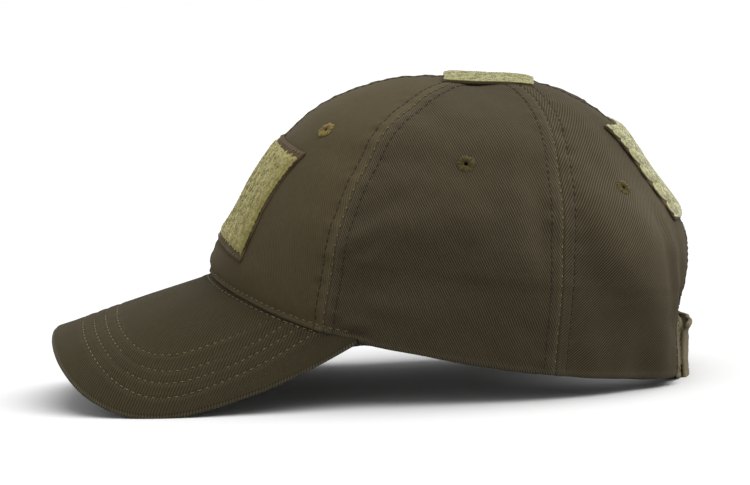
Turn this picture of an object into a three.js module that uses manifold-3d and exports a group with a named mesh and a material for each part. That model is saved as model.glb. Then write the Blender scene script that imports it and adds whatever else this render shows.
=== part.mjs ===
// Tactical cap with a curved peak, six crown panels, three loop patches and an open back with a strap.
// Lengths are millimetres, angles degrees, +Z up. The peak points to -Y and the wearer's left is +X.
// The cap is shaped in its worn frame, level as on a head, with the head's middle at x = 0, y = 0 and
// the rear hem at z = 0. The last lines tip it back until peak and rear hem rest on one level surface.

import * as THREE from 'three';
import { mergeVertices } from 'three/addons/utils/BufferGeometryUtils.js';
import Module from 'manifold-3d';

const wasm = await Module();
wasm.setup();

// Crown: reaches run from the head's middle to the outside of the cloth at the hem
const FRONT_REACH = 100;
const REAR_REACH = 98.5;
const HALF_WIDTH = 86.5;
const CROWN_HEIGHT = 118.7;
const APEX_BACK = 15;
const CROWN_WALL = 1.5;
const SEAM_GAP = 0.3;
const FRONT_LIFT = 36.7;
const APEX_HOLE = 1.2;

// Directions around the crown, from the peak's middle
const FRONT_SEAM_ANGLE = 62;
const FRONT_SEAM_LEAN = 7.5;
const REAR_SEAM_ANGLE = 117.5;
const REAR_SEAM_LEAN = 16;
const PEAK_END_ANGLE = 62.5;
const HEM_LEVEL_ANGLE = 150;
const HEM_STEP_ANGLE = 5;
const CORNER_CLEARANCE = 0.6;

// Peak: one curved sheet of board and cloth over a lining cloth
const PEAK_LENGTH = 69;
const PEAK_RADIUS = 98;
const PEAK_DROOP = 19;
const PEAK_FLARE = 7.2;
const PEAK_CORNER = 2.4;
const PEAK_BOARD = 2;
const PEAK_LINING = 1.2;
const LINING_INSET = 1.2;
const PEAK_STACK = PEAK_BOARD + SEAM_GAP + PEAK_LINING;
const UPRIGHT_STACKS = 3;

// Loop patches: each is a woven backing under a raised pile
const BACKING = 0.8;
const PATCH_SEAT = 0.5;
const FRONT_PATCH = { halfWidth: 43.5, height: 49, above: 16, dip: 1.6, pile: 1.6, margin: 3, end: 0.8 };
const REAR_PATCH = { halfWidth: 37.5, height: 45, above: 60.5, dip: 1.5, pile: 1.8, margin: 2, end: 1.2 };
const TOP_PATCH = { halfWidth: 19, height: 37, pile: 1.2, margin: 2.5, end: 1 };

// Eyelets: embroidered rings through the cloth
const EYELET_RADIUS = 4.5;
const EYELET_HOLE = 1;
const EYELET_NECK = 2;
const EYELET_RELIEF = 0.5;
const EYELET_BACK_RADIUS = 3.2;

// Rear opening, its bound edge and the two lapped strap ends
const ARCH_HALF_WIDTH = 38;
const ARCH_HEIGHT = 54;
const BINDING_WIDTH = 2.5;
const BINDING_RELIEF = 0.3;
const STRAP_WIDTH = 24;
const STRAP_WALL = 1.6;
const STRAP_LIFT = 0.5;
const STRAP_SEWN = 9;
const STRAP_LAP = 20;
const STRAP_SAG = 4;

// Sweatband: the strip of cloth inside the hem
const BAND_WIDTH = 30;
const BAND_WALL = 1.2;
const BAND_CLEARANCE = 0.8;
const BAND_SHOWS = 0.4;
const BAND_SHARE = 0.2;

// Mesh fineness
const PANEL_COLUMNS = 9;
const PANEL_ROWS = 18;
const PEAK_COLUMNS = 30;
const PEAK_ROWS = 6;
const PATCH_COLUMNS = 13;
const PATCH_ROWS = 5;
const STRAP_COLUMNS = 14;
const ARCH_COLUMNS = 26;
const BAND_COLUMNS = 42;
const BAND_ROWS = [0, 0.14, 0.55, 1];
const ROUND_SIDES = 12;

const COLOURS = {
  crown: 0x48402d,
  peak: 0x453e2e,
  lining: 0x3c3627,
  backing: 0x2e271c,
  pile: 0x9d9466,
  thread: 0x7a7152,
  strap: 0x8d8468,
};

// Middle profiles of the crown from hem to apex. Reach is a share of the named reach, rise a share of
// the height between the hem there and the apex.
const FRONT_PROFILE = [
  { reach: 1.0, rise: 0.0 },
  { reach: 1.004, rise: 0.075 },
  { reach: 0.985, rise: 0.156 },
  { reach: 0.947, rise: 0.238 },
  { reach: 0.889, rise: 0.358 },
  { reach: 0.826, rise: 0.48 },
  { reach: 0.732, rise: 0.642 },
  { reach: 0.66, rise: 0.748 },
  { reach: 0.56, rise: 0.849 },
  { reach: 0.46, rise: 0.915 },
  { reach: 0.36, rise: 0.96 },
  { reach: 0.21, rise: 1.0 },
  { reach: 0.036, rise: 1.007 },
];
const SIDE_PROFILE = [
  { reach: 0.975, rise: 0.0 },
  { reach: 0.992, rise: 0.137 },
  { reach: 1.0, rise: 0.273 },
  { reach: 0.985, rise: 0.401 },
  { reach: 0.948, rise: 0.51 },
  { reach: 0.89, rise: 0.61 },
  { reach: 0.81, rise: 0.7 },
  { reach: 0.74, rise: 0.784 },
  { reach: 0.63, rise: 0.856 },
  { reach: 0.495, rise: 0.912 },
  { reach: 0.345, rise: 0.956 },
  { reach: 0.18, rise: 0.986 },
];
const REAR_PROFILE = [
  { reach: 1.0, rise: 0.0 },
  { reach: 0.999, rise: 0.11 },
  { reach: 0.994, rise: 0.236 },
  { reach: 0.986, rise: 0.337 },
  { reach: 0.982, rise: 0.416 },
  { reach: 0.967, rise: 0.48 },
  { reach: 0.937, rise: 0.535 },
  { reach: 0.88, rise: 0.611 },
  { reach: 0.821, rise: 0.678 },
  { reach: 0.753, rise: 0.754 },
  { reach: 0.679, rise: 0.83 },
  { reach: 0.596, rise: 0.889 },
  { reach: 0.494, rise: 0.938 },
  { reach: 0.394, rise: 0.972 },
  { reach: 0.273, rise: 0.993 },
];

// Soft dents and folds of the crown. Climb is the share of the way up, tall and wide are its reach in
// the same share and in degrees, depth is a share of the half width and is negative on a ridge.
const DENTS = [
  { angle: 66, climb: 0.3, wide: 7, tall: 0.07, depth: 0.022 },
  { angle: 82, climb: 0.22, wide: 13, tall: 0.07, depth: 0.024 },
  { angle: 100, climb: 0.1, wide: 16, tall: 0.06, depth: 0.01 },
  { angle: 109, climb: 0.42, wide: 5, tall: 0.16, depth: -0.01 },
  { angle: 132, climb: 0.52, wide: 5, tall: 0.12, depth: 0.012 },
  { angle: 150, climb: 0.26, wide: 6, tall: 0.12, depth: 0.012 },
  { angle: 161, climb: 0.1, wide: 9, tall: 0.12, depth: 0.03 },
  { angle: -70, climb: 0.28, wide: 10, tall: 0.08, depth: 0.024 },
  { angle: -92, climb: 0.2, wide: 14, tall: 0.07, depth: 0.018 },
  { angle: -110, climb: 0.4, wide: 5, tall: 0.16, depth: -0.008 },
  { angle: -142, climb: 0.3, wide: 8, tall: 0.14, depth: 0.014 },
  { angle: -161, climb: 0.1, wide: 9, tall: 0.12, depth: 0.03 },
];

// Eyelets by the panel that carries them, on the wearer's left; the right side mirrors them
const EYELETS = [
  { panel: 'front', angle: 36.7, climb: 0.52 },
  { panel: 'side', angle: 92.2, climb: 0.47 },
  { panel: 'rear', angle: 139.2, climb: 0.435 },
];

// Plan fullness of the crown by climb: 2 is an ellipse, more is squarer
const FULLNESS = [
  { climb: 0, front: 2, rear: 2.5 },
  { climb: 0.25, front: 2.2, rear: 2.6 },
  { climb: 0.5, front: 2.3, rear: 2.9 },
  { climb: 0.72, front: 2.4, rear: 3.4 },
  { climb: 0.87, front: 2.3, rear: 3 },
  { climb: 1, front: 2.1, rear: 2.1 },
];
const PEAK_FULLNESS = 2.9;
const ARCH_FULLNESS = 2.4;
const HEM_FALL = 1.5;
const HEM_STEP = 0.03;
const PEAK_FRONT_SHARE = 0.72;

const radians = THREE.MathUtils.degToRad;
const degrees = THREE.MathUtils.radToDeg;
const smooth = THREE.MathUtils.smoothstep;
const mix = THREE.MathUtils.lerp;

// Value between low and high where a function that falls with it first reaches zero
function solve(low, high, falling) {
  for (let step = 0; step < 40; step += 1) {
    const middle = (low + high) / 2;
    if (falling(middle) > 0) low = middle;
    else high = middle;
  }
  return (low + high) / 2;
}

// Radius of a superellipse in one direction
function ovalRadius(across, along, acrossReach, alongReach, fullness) {
  const sum = Math.abs(across / acrossReach) ** fullness + Math.abs(along / alongReach) ** fullness;
  return sum ** (-1 / fullness);
}

// Profile curve that ends on the apex
function profileCurve(rows, apexReach) {
  const points = rows.map((row) => new THREE.Vector2(row.reach, row.rise));
  return new THREE.SplineCurve([...points, new THREE.Vector2(apexReach, 1)]);
}

const profiles = {
  front: profileCurve(FRONT_PROFILE, -APEX_BACK / FRONT_REACH),
  side: profileCurve(SIDE_PROFILE, 0),
  rear: profileCurve(REAR_PROFILE, APEX_BACK / REAR_REACH),
};

// Fullness of the front or rear plan at a climb
function fullnessAt(climb, end) {
  const above = FULLNESS.findIndex((row) => row.climb >= Math.min(climb, 1));
  if (above < 1) return FULLNESS[0][end];
  const [low, high] = [FULLNESS[above - 1], FULLNESS[above]];
  return mix(low[end], high[end], (climb - low.climb) / (high.climb - low.climb));
}

// Middle profile points at a climb, kept because every surface point asks for them
const profileCache = new Map();
function profilesAt(climb) {
  if (!profileCache.has(climb)) {
    const share = THREE.MathUtils.clamp(climb, 0, 1);
    profileCache.set(climb, {
      front: profiles.front.getPointAt(share),
      side: profiles.side.getPointAt(share),
      rear: profiles.rear.getPointAt(share),
    });
  }
  return profileCache.get(climb);
}

// Height of the peak's top face over a plan point
function peakHeight(x, y) {
  const across = Math.min(Math.abs(x), PEAK_RADIUS * 0.999);
  const sag = PEAK_RADIUS - Math.sqrt(PEAK_RADIUS ** 2 - across ** 2);
  const droop = radians(PEAK_DROOP);
  const forward = (-FRONT_REACH + sag * Math.sin(droop) - y) / Math.cos(droop);
  return FRONT_LIFT - forward * Math.sin(droop) - sag * Math.cos(droop);
}

// Plan point of the crown at a climb, without its dents, or of a like plan a length inside it
function planPoint(angle, climb, inset = 0) {
  const at = profilesAt(climb);
  const across = Math.sin(radians(angle));
  const along = Math.cos(radians(angle));
  const middle = APEX_BACK * (1 - Math.min(1, at.side.x / SIDE_PROFILE[0].reach));
  const alongReach = along > 0 ? FRONT_REACH * at.front.x + middle : REAR_REACH * at.rear.x - middle;
  const acrossReach = HALF_WIDTH * at.side.x - inset;
  const fullness = fullnessAt(climb, along > 0 ? 'front' : 'rear');
  const radius = ovalRadius(across, along, acrossReach, alongReach - inset, fullness);
  return { x: radius * across, y: middle - radius * along, middle, radius };
}

// Point of the peak's top face, by length across its curve and length forward down its slope
function peakPoint(across, forward) {
  const turn = across / PEAK_RADIUS;
  const sag = PEAK_RADIUS * (1 - Math.cos(turn));
  const droop = radians(PEAK_DROOP);
  return new THREE.Vector3(
    PEAK_RADIUS * Math.sin(turn),
    -FRONT_REACH - forward * Math.cos(droop) + sag * Math.sin(droop),
    FRONT_LIFT - forward * Math.sin(droop) - sag * Math.cos(droop),
  );
}

// Place of a crown plan point on the peak's sheet
function peakPlace(x, y) {
  const across = PEAK_RADIUS * Math.asin(THREE.MathUtils.clamp(x / PEAK_RADIUS, -0.999, 0.999));
  const sag = PEAK_RADIUS * (1 - Math.cos(across / PEAK_RADIUS));
  const droop = radians(PEAK_DROOP);
  return { across, forward: (-FRONT_REACH + sag * Math.sin(droop) - y) / Math.cos(droop) };
}

// Inside of the crown at the hem, where the peak's inner edge is sewn
function peakSeam(share) {
  const plan = planPoint(PEAK_END_ANGLE * share, 0, CROWN_WALL);
  return peakPlace(plan.x, plan.y);
}

// Direction just past the peak's corner, up to which the hem stands on the peak
const corner = peakSeam(1);
const cornerTip = peakPoint(corner.across + PEAK_CORNER, corner.forward);
const cornerAngle = degrees(Math.atan2(cornerTip.x, -cornerTip.y)) + CORNER_CLEARANCE;

// Height of the hem in a direction: on the peak in front, then falling to the level rear
function hemHeight(angle) {
  const turn = Math.abs(angle);
  const plan = planPoint(Math.min(turn, cornerAngle), 0);
  const onPeak = peakHeight(plan.x, plan.y) + SEAM_GAP;
  if (turn <= cornerAngle) return onPeak;
  const step = HEM_STEP * smooth(turn - cornerAngle, 0, HEM_STEP_ANGLE);
  const left = 1 - Math.min(1, (turn - cornerAngle) / (HEM_LEVEL_ANGLE - cornerAngle));
  return onPeak * (1 - step) * left ** HEM_FALL;
}

// Share by which dents pull the crown in at a place
function dentShare(angle, climb) {
  let share = 0;
  for (const dent of DENTS) {
    const side = (angle - dent.angle) / dent.wide;
    const up = (climb - dent.climb) / dent.tall;
    share += dent.depth * Math.exp(-side * side - up * up);
  }
  return share;
}

// Point of the crown's outside, by direction and by share of the way up from the hem
function crownPoint(angle, climb) {
  const at = profilesAt(climb);
  const plan = planPoint(angle, climb);
  const along = Math.cos(radians(angle)) ** 2;
  const middleRise = Math.cos(radians(angle)) > 0 ? at.front.y : at.rear.y;
  const rise = mix(at.side.y, middleRise, along);
  const hem = hemHeight(angle);
  const pull = 1 - dentShare(angle, climb);
  return new THREE.Vector3(
    plan.x * pull,
    plan.middle + (plan.y - plan.middle) * pull,
    hem + (CROWN_HEIGHT - hem) * rise,
  );
}

// Direction on the crown whose point at a climb has a given x, in front or at the rear
function angleAtX(x, climb, rear) {
  const reach = Math.abs(x);
  const turn = rear
    ? solve(90, 180, (angle) => planPoint(angle, climb).x - reach)
    : solve(0, 90, (angle) => reach - planPoint(angle, climb).x);
  return turn * (x < 0 ? -1 : 1);
}

// Climb after a length of cloth from another climb, along one direction
function climbAfter(angle, from, length) {
  const step = 0.005;
  let climb = from;
  let walked = 0;
  while (walked < length && climb < 1) {
    walked += crownPoint(angle, climb).distanceTo(crownPoint(angle, climb + step));
    climb += step;
  }
  return climb;
}

// Point of the crown over a plan place near its top
function crownOver(x, y) {
  const aim = (climb) => {
    const middle = planPoint(0, climb).middle;
    return { angle: degrees(Math.atan2(x, middle - y)), reach: Math.hypot(x, y - middle) };
  };
  const climb = solve(0.4, 1, (share) => {
    const to = aim(share);
    return planPoint(to.angle, share).radius - to.reach;
  });
  return crownPoint(aim(climb).angle, climb);
}

// Point of the rear crown by x and by height above the rear hem
function rearPoint(x, z) {
  const height = (climb) => crownPoint(angleAtX(x, climb, true), climb).z;
  const climb = z <= height(0) ? 0 : solve(0, 0.9, (share) => z - height(share));
  const point = crownPoint(angleAtX(x, climb, true), climb);
  return new THREE.Vector3(x, point.y, z);
}

// Unit normal of a surface function at a place, from its two slopes
function normalAt(surface, u, w) {
  const step = 1e-3;
  const alongU = surface(u + step, w).sub(surface(u - step, w));
  const alongW = surface(u, w + step).sub(surface(u, w - step));
  return alongU.cross(alongW).normalize();
}

// Closed body between two offsets of a surface, over rows and columns given as lists of parameters.
// Squares left and right of u = 0 are split into triangles as mirror images.
// adjust may move a corner, as a hem that has to clear the peak.
function shell(surface, columns, rows, outside, inside, adjust = (point) => point) {
  const positions = [];
  for (const offset of [outside, inside]) {
    for (const w of rows) {
      for (const u of columns(w)) {
        const point = surface(u, w).addScaledVector(normalAt(surface, u, w), offset);
        positions.push(...adjust(point, u, w, offset).toArray());
      }
    }
  }
  const wide = columns(rows[0]).length;
  const tall = rows.length;
  const layer = wide * tall;
  const index = [];
  const quad = (a, b, c, d) => index.push(a, b, c, a, c, d);
  const mirrored = (a, b, c, d) => index.push(b, c, d, b, d, a);
  for (let row = 0; row < tall - 1; row += 1) {
    for (let column = 0; column < wide - 1; column += 1) {
      const low = row * wide + column;
      const high = low + wide;
      const split = columns(rows[row])[column] < 0 ? mirrored : quad;
      split(low, low + 1, high + 1, high);
      split(layer + high, layer + high + 1, layer + low + 1, layer + low);
    }
  }
  for (let column = 0; column < wide - 1; column += 1) {
    const top = (tall - 1) * wide + column;
    quad(layer + column, layer + column + 1, column + 1, column);
    quad(top, top + 1, layer + top + 1, layer + top);
  }
  for (let row = 0; row < tall - 1; row += 1) {
    const low = row * wide;
    const high = low + wide;
    quad(low, high, layer + high, layer + low);
    quad(layer + low + wide - 1, layer + high + wide - 1, high + wide - 1, low + wide - 1);
  }
  const geometry = new THREE.BufferGeometry();
  geometry.setAttribute('position', new THREE.Float32BufferAttribute(positions, 3));
  geometry.setIndex(index);
  return geometry;
}

// Evenly spaced values, ends included
function steps(from, to, count) {
  return Array.from({ length: count + 1 }, (_, place) => mix(from, to, place / count));
}

function toSolid(geometry) {
  const bare = geometry.clone();
  bare.deleteAttribute('normal');
  bare.deleteAttribute('uv');
  const merged = mergeVertices(bare, 1e-4);
  return new wasm.Manifold(new wasm.Mesh({
    numProp: 3,
    vertProperties: new Float32Array(merged.attributes.position.array),
    triVerts: new Uint32Array(merged.index.array),
  }));
}

function toGeometry(solid) {
  const mesh = solid.getMesh();
  const geometry = new THREE.BufferGeometry();
  geometry.setAttribute('position', new THREE.BufferAttribute(new Float32Array(mesh.vertProperties), 3));
  geometry.setIndex(new THREE.BufferAttribute(new Uint32Array(mesh.triVerts), 1));
  return geometry;
}

const cap = new THREE.Group();

function add(name, geometry, colour, roughness = 0.95) {
  geometry.computeVertexNormals();
  const material = new THREE.MeshStandardMaterial({ color: colour, roughness, metalness: 0 });
  const mesh = new THREE.Mesh(geometry, material);
  mesh.name = name;
  cap.add(mesh);
  return mesh;
}

// Direction of the front side seam at a climb: it leans forward towards the hem
function frontSeam(climb) {
  return FRONT_SEAM_ANGLE - FRONT_SEAM_LEAN * (1 - climb) ** 3;
}

// Direction of the rear side seam at a climb: it leans back towards the top
function rearSeam(climb) {
  return REAR_SEAM_ANGLE + REAR_SEAM_LEAN * climb ** 2;
}

// Columns of a panel at one climb: half a seam gap inside each seam, with one column on the peak's end
function panelColumns(fromSeam, toSeam) {
  const inset = (angle, climb, side) => {
    const step = 0.05;
    const spread = crownPoint(angle + step, climb).distanceTo(crownPoint(angle - step, climb)) / (2 * step);
    return angle + (side * SEAM_GAP) / 2 / spread;
  };
  return (climb) => {
    const from = fromSeam(climb);
    const to = toSeam(climb);
    const angles = steps(inset(from, climb, 1), inset(to, climb, -1), PANEL_COLUMNS);
    for (const end of [-cornerAngle, cornerAngle]) {
      if (end > from && end < to) {
        const share = (end - from) / (to - from);
        const place = THREE.MathUtils.clamp(Math.round(share * PANEL_COLUMNS), 1, PANEL_COLUMNS - 1);
        angles[place] = mix(end, angles[place], smooth(climb, 0, BAND_SHARE));
      }
    }
    return angles;
  };
}

// Climb at which a panel stops, a small hole short of the apex
const panelTop = solve(0.5, 1, (climb) => planPoint(90, climb).radius - APEX_HOLE);

// Lifts a corner of the crown that would touch the peak's top face
function clearOfPeak(point, angle) {
  if (Math.abs(angle) <= cornerAngle) {
    point.z = Math.max(point.z, peakHeight(point.x, point.y) + SEAM_GAP);
  }
  return point;
}

function panelBody(from, to) {
  const rows = steps(0, panelTop, PANEL_ROWS);
  return shell(crownPoint, panelColumns(from, to), rows, 0, -CROWN_WALL, clearOfPeak);
}

// Frame of an eyelet: on the panel's own facet, with its axis along the crown's normal
function eyeletPlace(angle, climb, panelGeometry) {
  const normal = normalAt(crownPoint, angle, climb);
  const outside = crownPoint(angle, climb).addScaledVector(normal, 10);
  const ray = new THREE.Raycaster(outside, normal.clone().negate());
  const [hit] = ray.intersectObject(new THREE.Mesh(panelGeometry));
  const turn = new THREE.Quaternion().setFromUnitVectors(new THREE.Vector3(0, 1, 0), normal);
  return new THREE.Matrix4().compose(hit.point, turn, new THREE.Vector3(1, 1, 1));
}

function eyeletGeometry() {
  const face = SEAM_GAP + EYELET_RELIEF;
  const back = -CROWN_WALL - 1.5 * SEAM_GAP;
  const outline = [
    [EYELET_HOLE, face],
    [EYELET_HOLE, back - EYELET_RELIEF],
    [EYELET_BACK_RADIUS, back - EYELET_RELIEF],
    [EYELET_BACK_RADIUS, back],
    [EYELET_NECK, back],
    [EYELET_NECK, SEAM_GAP],
    [EYELET_RADIUS, SEAM_GAP],
    [EYELET_RADIUS - EYELET_RELIEF, face],
    [EYELET_HOLE, face],
  ].map(([radius, height]) => new THREE.Vector2(radius, height));
  return new THREE.LatheGeometry(outline, ROUND_SIDES);
}

function eyeletCutter() {
  return new THREE.CylinderGeometry(EYELET_NECK + SEAM_GAP, EYELET_NECK + SEAM_GAP, 12, ROUND_SIDES);
}

// Rear arch: half an oval on the hem, as x and height at a share of the way round, moved outwards
function archPoint(share, outwards) {
  const turn = Math.PI * share;
  const reach = ovalRadius(Math.cos(turn), Math.sin(turn), ARCH_HALF_WIDTH, ARCH_HEIGHT, ARCH_FULLNESS);
  const place = new THREE.Vector2(reach * Math.cos(turn), reach * Math.sin(turn));
  return place.setLength(reach + outwards);
}

function archCutter() {
  const outwards = BINDING_WIDTH + SEAM_GAP;
  const top = steps(0, 1, 28).map((share) => archPoint(share, outwards));
  const below = [top[top.length - 1], top[0]].map((point) => new THREE.Vector2(point.x, -ARCH_HEIGHT));
  const outline = new THREE.Shape([...top, ...below]);
  const depth = REAR_REACH;
  const geometry = new THREE.ExtrudeGeometry(outline, { depth, bevelEnabled: false });
  geometry.rotateX(Math.PI / 2);
  geometry.translate(0, REAR_REACH * 1.5, 0);
  return geometry;
}

function makeCrown() {
  const spans = {
    front: [() => 0, frontSeam],
    side: [frontSeam, rearSeam],
    rear: [rearSeam, () => 180],
  };
  for (const [sideName, sign] of [['left', 1], ['right', -1]]) {
    for (const { panel, angle, climb } of EYELETS) {
      const [near, far] = spans[panel].map((seam) => (share) => seam(share) * sign);
      const body = sign > 0 ? panelBody(near, far) : panelBody(far, near);
      const place = eyeletPlace(angle * sign, climb, body);
      let solid = toSolid(body).subtract(toSolid(eyeletCutter().applyMatrix4(place)));
      if (panel === 'rear') solid = solid.subtract(toSolid(archCutter()));
      add(`${panel}_panel_${sideName}`, toGeometry(solid), COLOURS.crown);
      const ring = add(`eyelet_${panel}_${sideName}`, eyeletGeometry(), COLOURS.thread);
      ring.applyMatrix4(place);
    }
  }
}

// Outer edge of the peak: half an oval in front of its widest place, then straight back to the corner
function peakRim(share, inset) {
  const widest = corner.across + PEAK_CORNER + PEAK_FLARE;
  const side = Math.abs(share);
  const sign = share < 0 ? -1 : 1;
  if (side < PEAK_FRONT_SHARE) {
    const turn = (Math.PI / 2) * (side / PEAK_FRONT_SHARE);
    const reach = ovalRadius(Math.sin(turn), Math.cos(turn), widest - inset, PEAK_LENGTH - inset, PEAK_FULLNESS);
    return { across: sign * reach * Math.sin(turn), forward: reach * Math.cos(turn) };
  }
  const back = (side - PEAK_FRONT_SHARE) / (1 - PEAK_FRONT_SHARE);
  return { across: sign * (widest - inset - PEAK_FLARE * back ** 2), forward: corner.forward * back };
}

// Sheet of the peak between its seam and its rim
function peakSheet(inset) {
  return (share, outwards) => {
    const inner = peakSeam(-share);
    const rim = peakRim(-share, inset);
    return peakPoint(
      mix(inner.across, rim.across, outwards),
      mix(inner.forward, rim.forward, outwards),
    );
  };
}

// One layer of the peak. Its inner edge is cut upright, so that every layer ends at the crown's inside,
// and the layers turn square to the sheet within a few thicknesses of that edge.
function peakLayer(inset, top, bottom) {
  const surface = peakSheet(inset);
  const upright = (point, share, outwards, offset) => {
    const below = surface(share, outwards);
    const fromSeam = below.distanceTo(surface(share, 0)) / (UPRIGHT_STACKS * PEAK_STACK);
    below.z += offset;
    return below.lerp(point, smooth(fromSeam, 0, 1));
  };
  const columns = () => steps(-1, 1, PEAK_COLUMNS);
  return shell(surface, columns, steps(0, 1, PEAK_ROWS), top, bottom, upright);
}

function makePeak() {
  const lining = -PEAK_BOARD - SEAM_GAP;
  add('peak_upper', peakLayer(0, 0, -PEAK_BOARD), COLOURS.peak);
  add('peak_under', peakLayer(LINING_INSET, lining, lining - PEAK_LINING), COLOURS.lining);
}

// Patch on the front or rear crown: u runs across it and w is the cloth's length above its lower edge.
// The crown leans in like a cone, so a straight patch dips towards its ends.
function wallPatch(patch, rear) {
  const angle = rear ? 180 : 0;
  const hem = climbAfter(angle, 0, patch.above);
  const top = climbAfter(angle, hem, patch.height);
  return (u, w) => {
    const dip = (patch.dip / patch.height) * (u / patch.halfWidth) ** 2;
    const climb = mix(hem, top, w / patch.height - dip);
    return crownPoint(angleAtX(rear ? -u : u, climb, rear), climb);
  };
}

function topPatchSurface(x, w) {
  return crownOver(x, APEX_BACK - TOP_PATCH.height / 2 + w);
}

function makePatch(name, patch, surface) {
  const layer = (end, margin, from, to) => {
    const reach = patch.halfWidth - end;
    const columns = () => steps(-reach, reach, PATCH_COLUMNS);
    return shell(surface, columns, steps(margin, patch.height - margin, PATCH_ROWS), to, from);
  };
  add(`${name}_backing`, layer(0, 0, PATCH_SEAT, PATCH_SEAT + BACKING), COLOURS.backing);
  const seat = 2 * PATCH_SEAT + BACKING;
  add(`${name}_pile`, layer(patch.end, patch.margin, seat, seat + patch.pile), COLOURS.pile);
}

// Bound edge of the rear arch: u goes round the arch, w outwards from the opening
function makeBinding() {
  const surface = (share, outwards) => {
    const place = archPoint(share, outwards);
    return rearPoint(place.x, place.y);
  };
  const foot = 0.006;
  const columns = () => steps(foot, 1 - foot, ARCH_COLUMNS);
  const rows = [0, BINDING_WIDTH];
  const outside = BINDING_RELIEF;
  add('rear_opening_binding', shell(surface, columns, rows, outside, -CROWN_WALL - outside), COLOURS.crown);
}

// One strap end: it starts inside a rear panel, sags and laps the other one behind the opening
function makeStrap(name, sign, lapOffset) {
  const sewnOffset = -CROWN_WALL - BINDING_RELIEF - SEAM_GAP - STRAP_WALL / 2;
  const start = ARCH_HALF_WIDTH + BINDING_WIDTH + STRAP_SEWN;
  const topShare = (STRAP_LIFT + STRAP_WIDTH) / ARCH_HEIGHT;
  const openFrom = ARCH_HALF_WIDTH * (1 - topShare ** ARCH_FULLNESS) ** (1 / ARCH_FULLNESS);
  const wall = (u, z) => rearPoint(-u, z);
  const surface = (u, z) => {
    const free = smooth(openFrom + u * sign, 0, openFrom - STRAP_LAP);
    const point = wall(u, z).addScaledVector(normalAt(wall, u, z), mix(sewnOffset, lapOffset, free));
    point.z -= STRAP_SAG * free;
    return point;
  };
  const ends = sign > 0 ? [-start, STRAP_LAP] : [-STRAP_LAP, start];
  const columns = () => steps(...ends, STRAP_COLUMNS);
  const rows = steps(STRAP_LIFT, STRAP_LIFT + STRAP_WIDTH, 2);
  add(name, shell(surface, columns, rows, STRAP_WALL / 2, -STRAP_WALL / 2), COLOURS.strap);
}

// Sweatband: inside the hem from one strap end round the front to the other. It hangs a little below
// the hem, and in front it covers the peak's inner edge.
function makeSweatband() {
  const end = angleAtX(ARCH_HALF_WIDTH + BINDING_WIDTH + STRAP_SEWN + STRAP_WALL, 0, true);
  const climbPerLength = climbAfter(90, 0, BAND_WIDTH) / BAND_WIDTH;
  const surface = (angle, share) => {
    const behindPeak = smooth(Math.abs(angle), cornerAngle - HEM_STEP_ANGLE, cornerAngle + HEM_STEP_ANGLE);
    const drop = mix(PEAK_STACK, BAND_SHOWS, behindPeak);
    const up = BAND_WIDTH * share - drop;
    const point = crownPoint(angle, Math.max(0, up) * climbPerLength);
    point.z += Math.min(0, up);
    return point;
  };
  const columns = () => steps(-end, end, BAND_COLUMNS);
  const outside = -CROWN_WALL - BAND_CLEARANCE;
  add('sweatband', shell(surface, columns, BAND_ROWS, outside, outside - BAND_WALL), COLOURS.lining);
}

makeCrown();
makePeak();
makePatch('front_loop', FRONT_PATCH, wallPatch(FRONT_PATCH, false));
makePatch('rear_loop', REAR_PATCH, wallPatch(REAR_PATCH, true));
makePatch('top_loop', TOP_PATCH, topPatchSurface);
makeBinding();
const lapInner = -STRAP_WALL - SEAM_GAP;
makeStrap('strap_inner', 1, lapInner);
makeStrap('strap_outer', -1, 0);
makeSweatband();

// Lowest point in front of or behind the head's middle once the cap is tipped back
function lowest(tilt, side) {
  let low = Infinity;
  const point = new THREE.Vector3();
  for (const mesh of cap.children) {
    const places = mesh.geometry.attributes.position;
    for (let place = 0; place < places.count; place += 1) {
      point.fromBufferAttribute(places, place).applyMatrix4(mesh.matrix);
      if (point.y * side > 0) {
        low = Math.min(low, point.z * Math.cos(tilt) + point.y * Math.sin(tilt));
      }
    }
  }
  return low;
}

cap.children.forEach((mesh) => mesh.updateMatrix());
const tilt = solve(radians(-20), radians(20), (angle) => lowest(angle, -1) - lowest(angle, 1));
cap.rotation.x = tilt;

const group = new THREE.Group();
group.add(cap);
group.updateMatrixWorld(true);
const box = new THREE.Box3().setFromObject(group, true);
const middle = box.getCenter(new THREE.Vector3());
cap.position.set(-middle.x, -middle.y, -box.min.z);
group.updateMatrixWorld(true);

export default group;
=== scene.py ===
"""Tactical cap: twill panels, stitched peak, loop patches, eyelets, bound rear arch and lapped strap.

Shapes are worked out in millimetres in the cap's worn frame: the peak points to -Y, the wearer's left
is +X and the rear hem is at z = 0. lay() tips them back on to the surface that the cap rests on.
"""

import math

import bpy
import numpy as np
from bpy.props import FloatProperty, FloatVectorProperty, PointerProperty
from mathutils import Matrix, Vector


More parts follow.
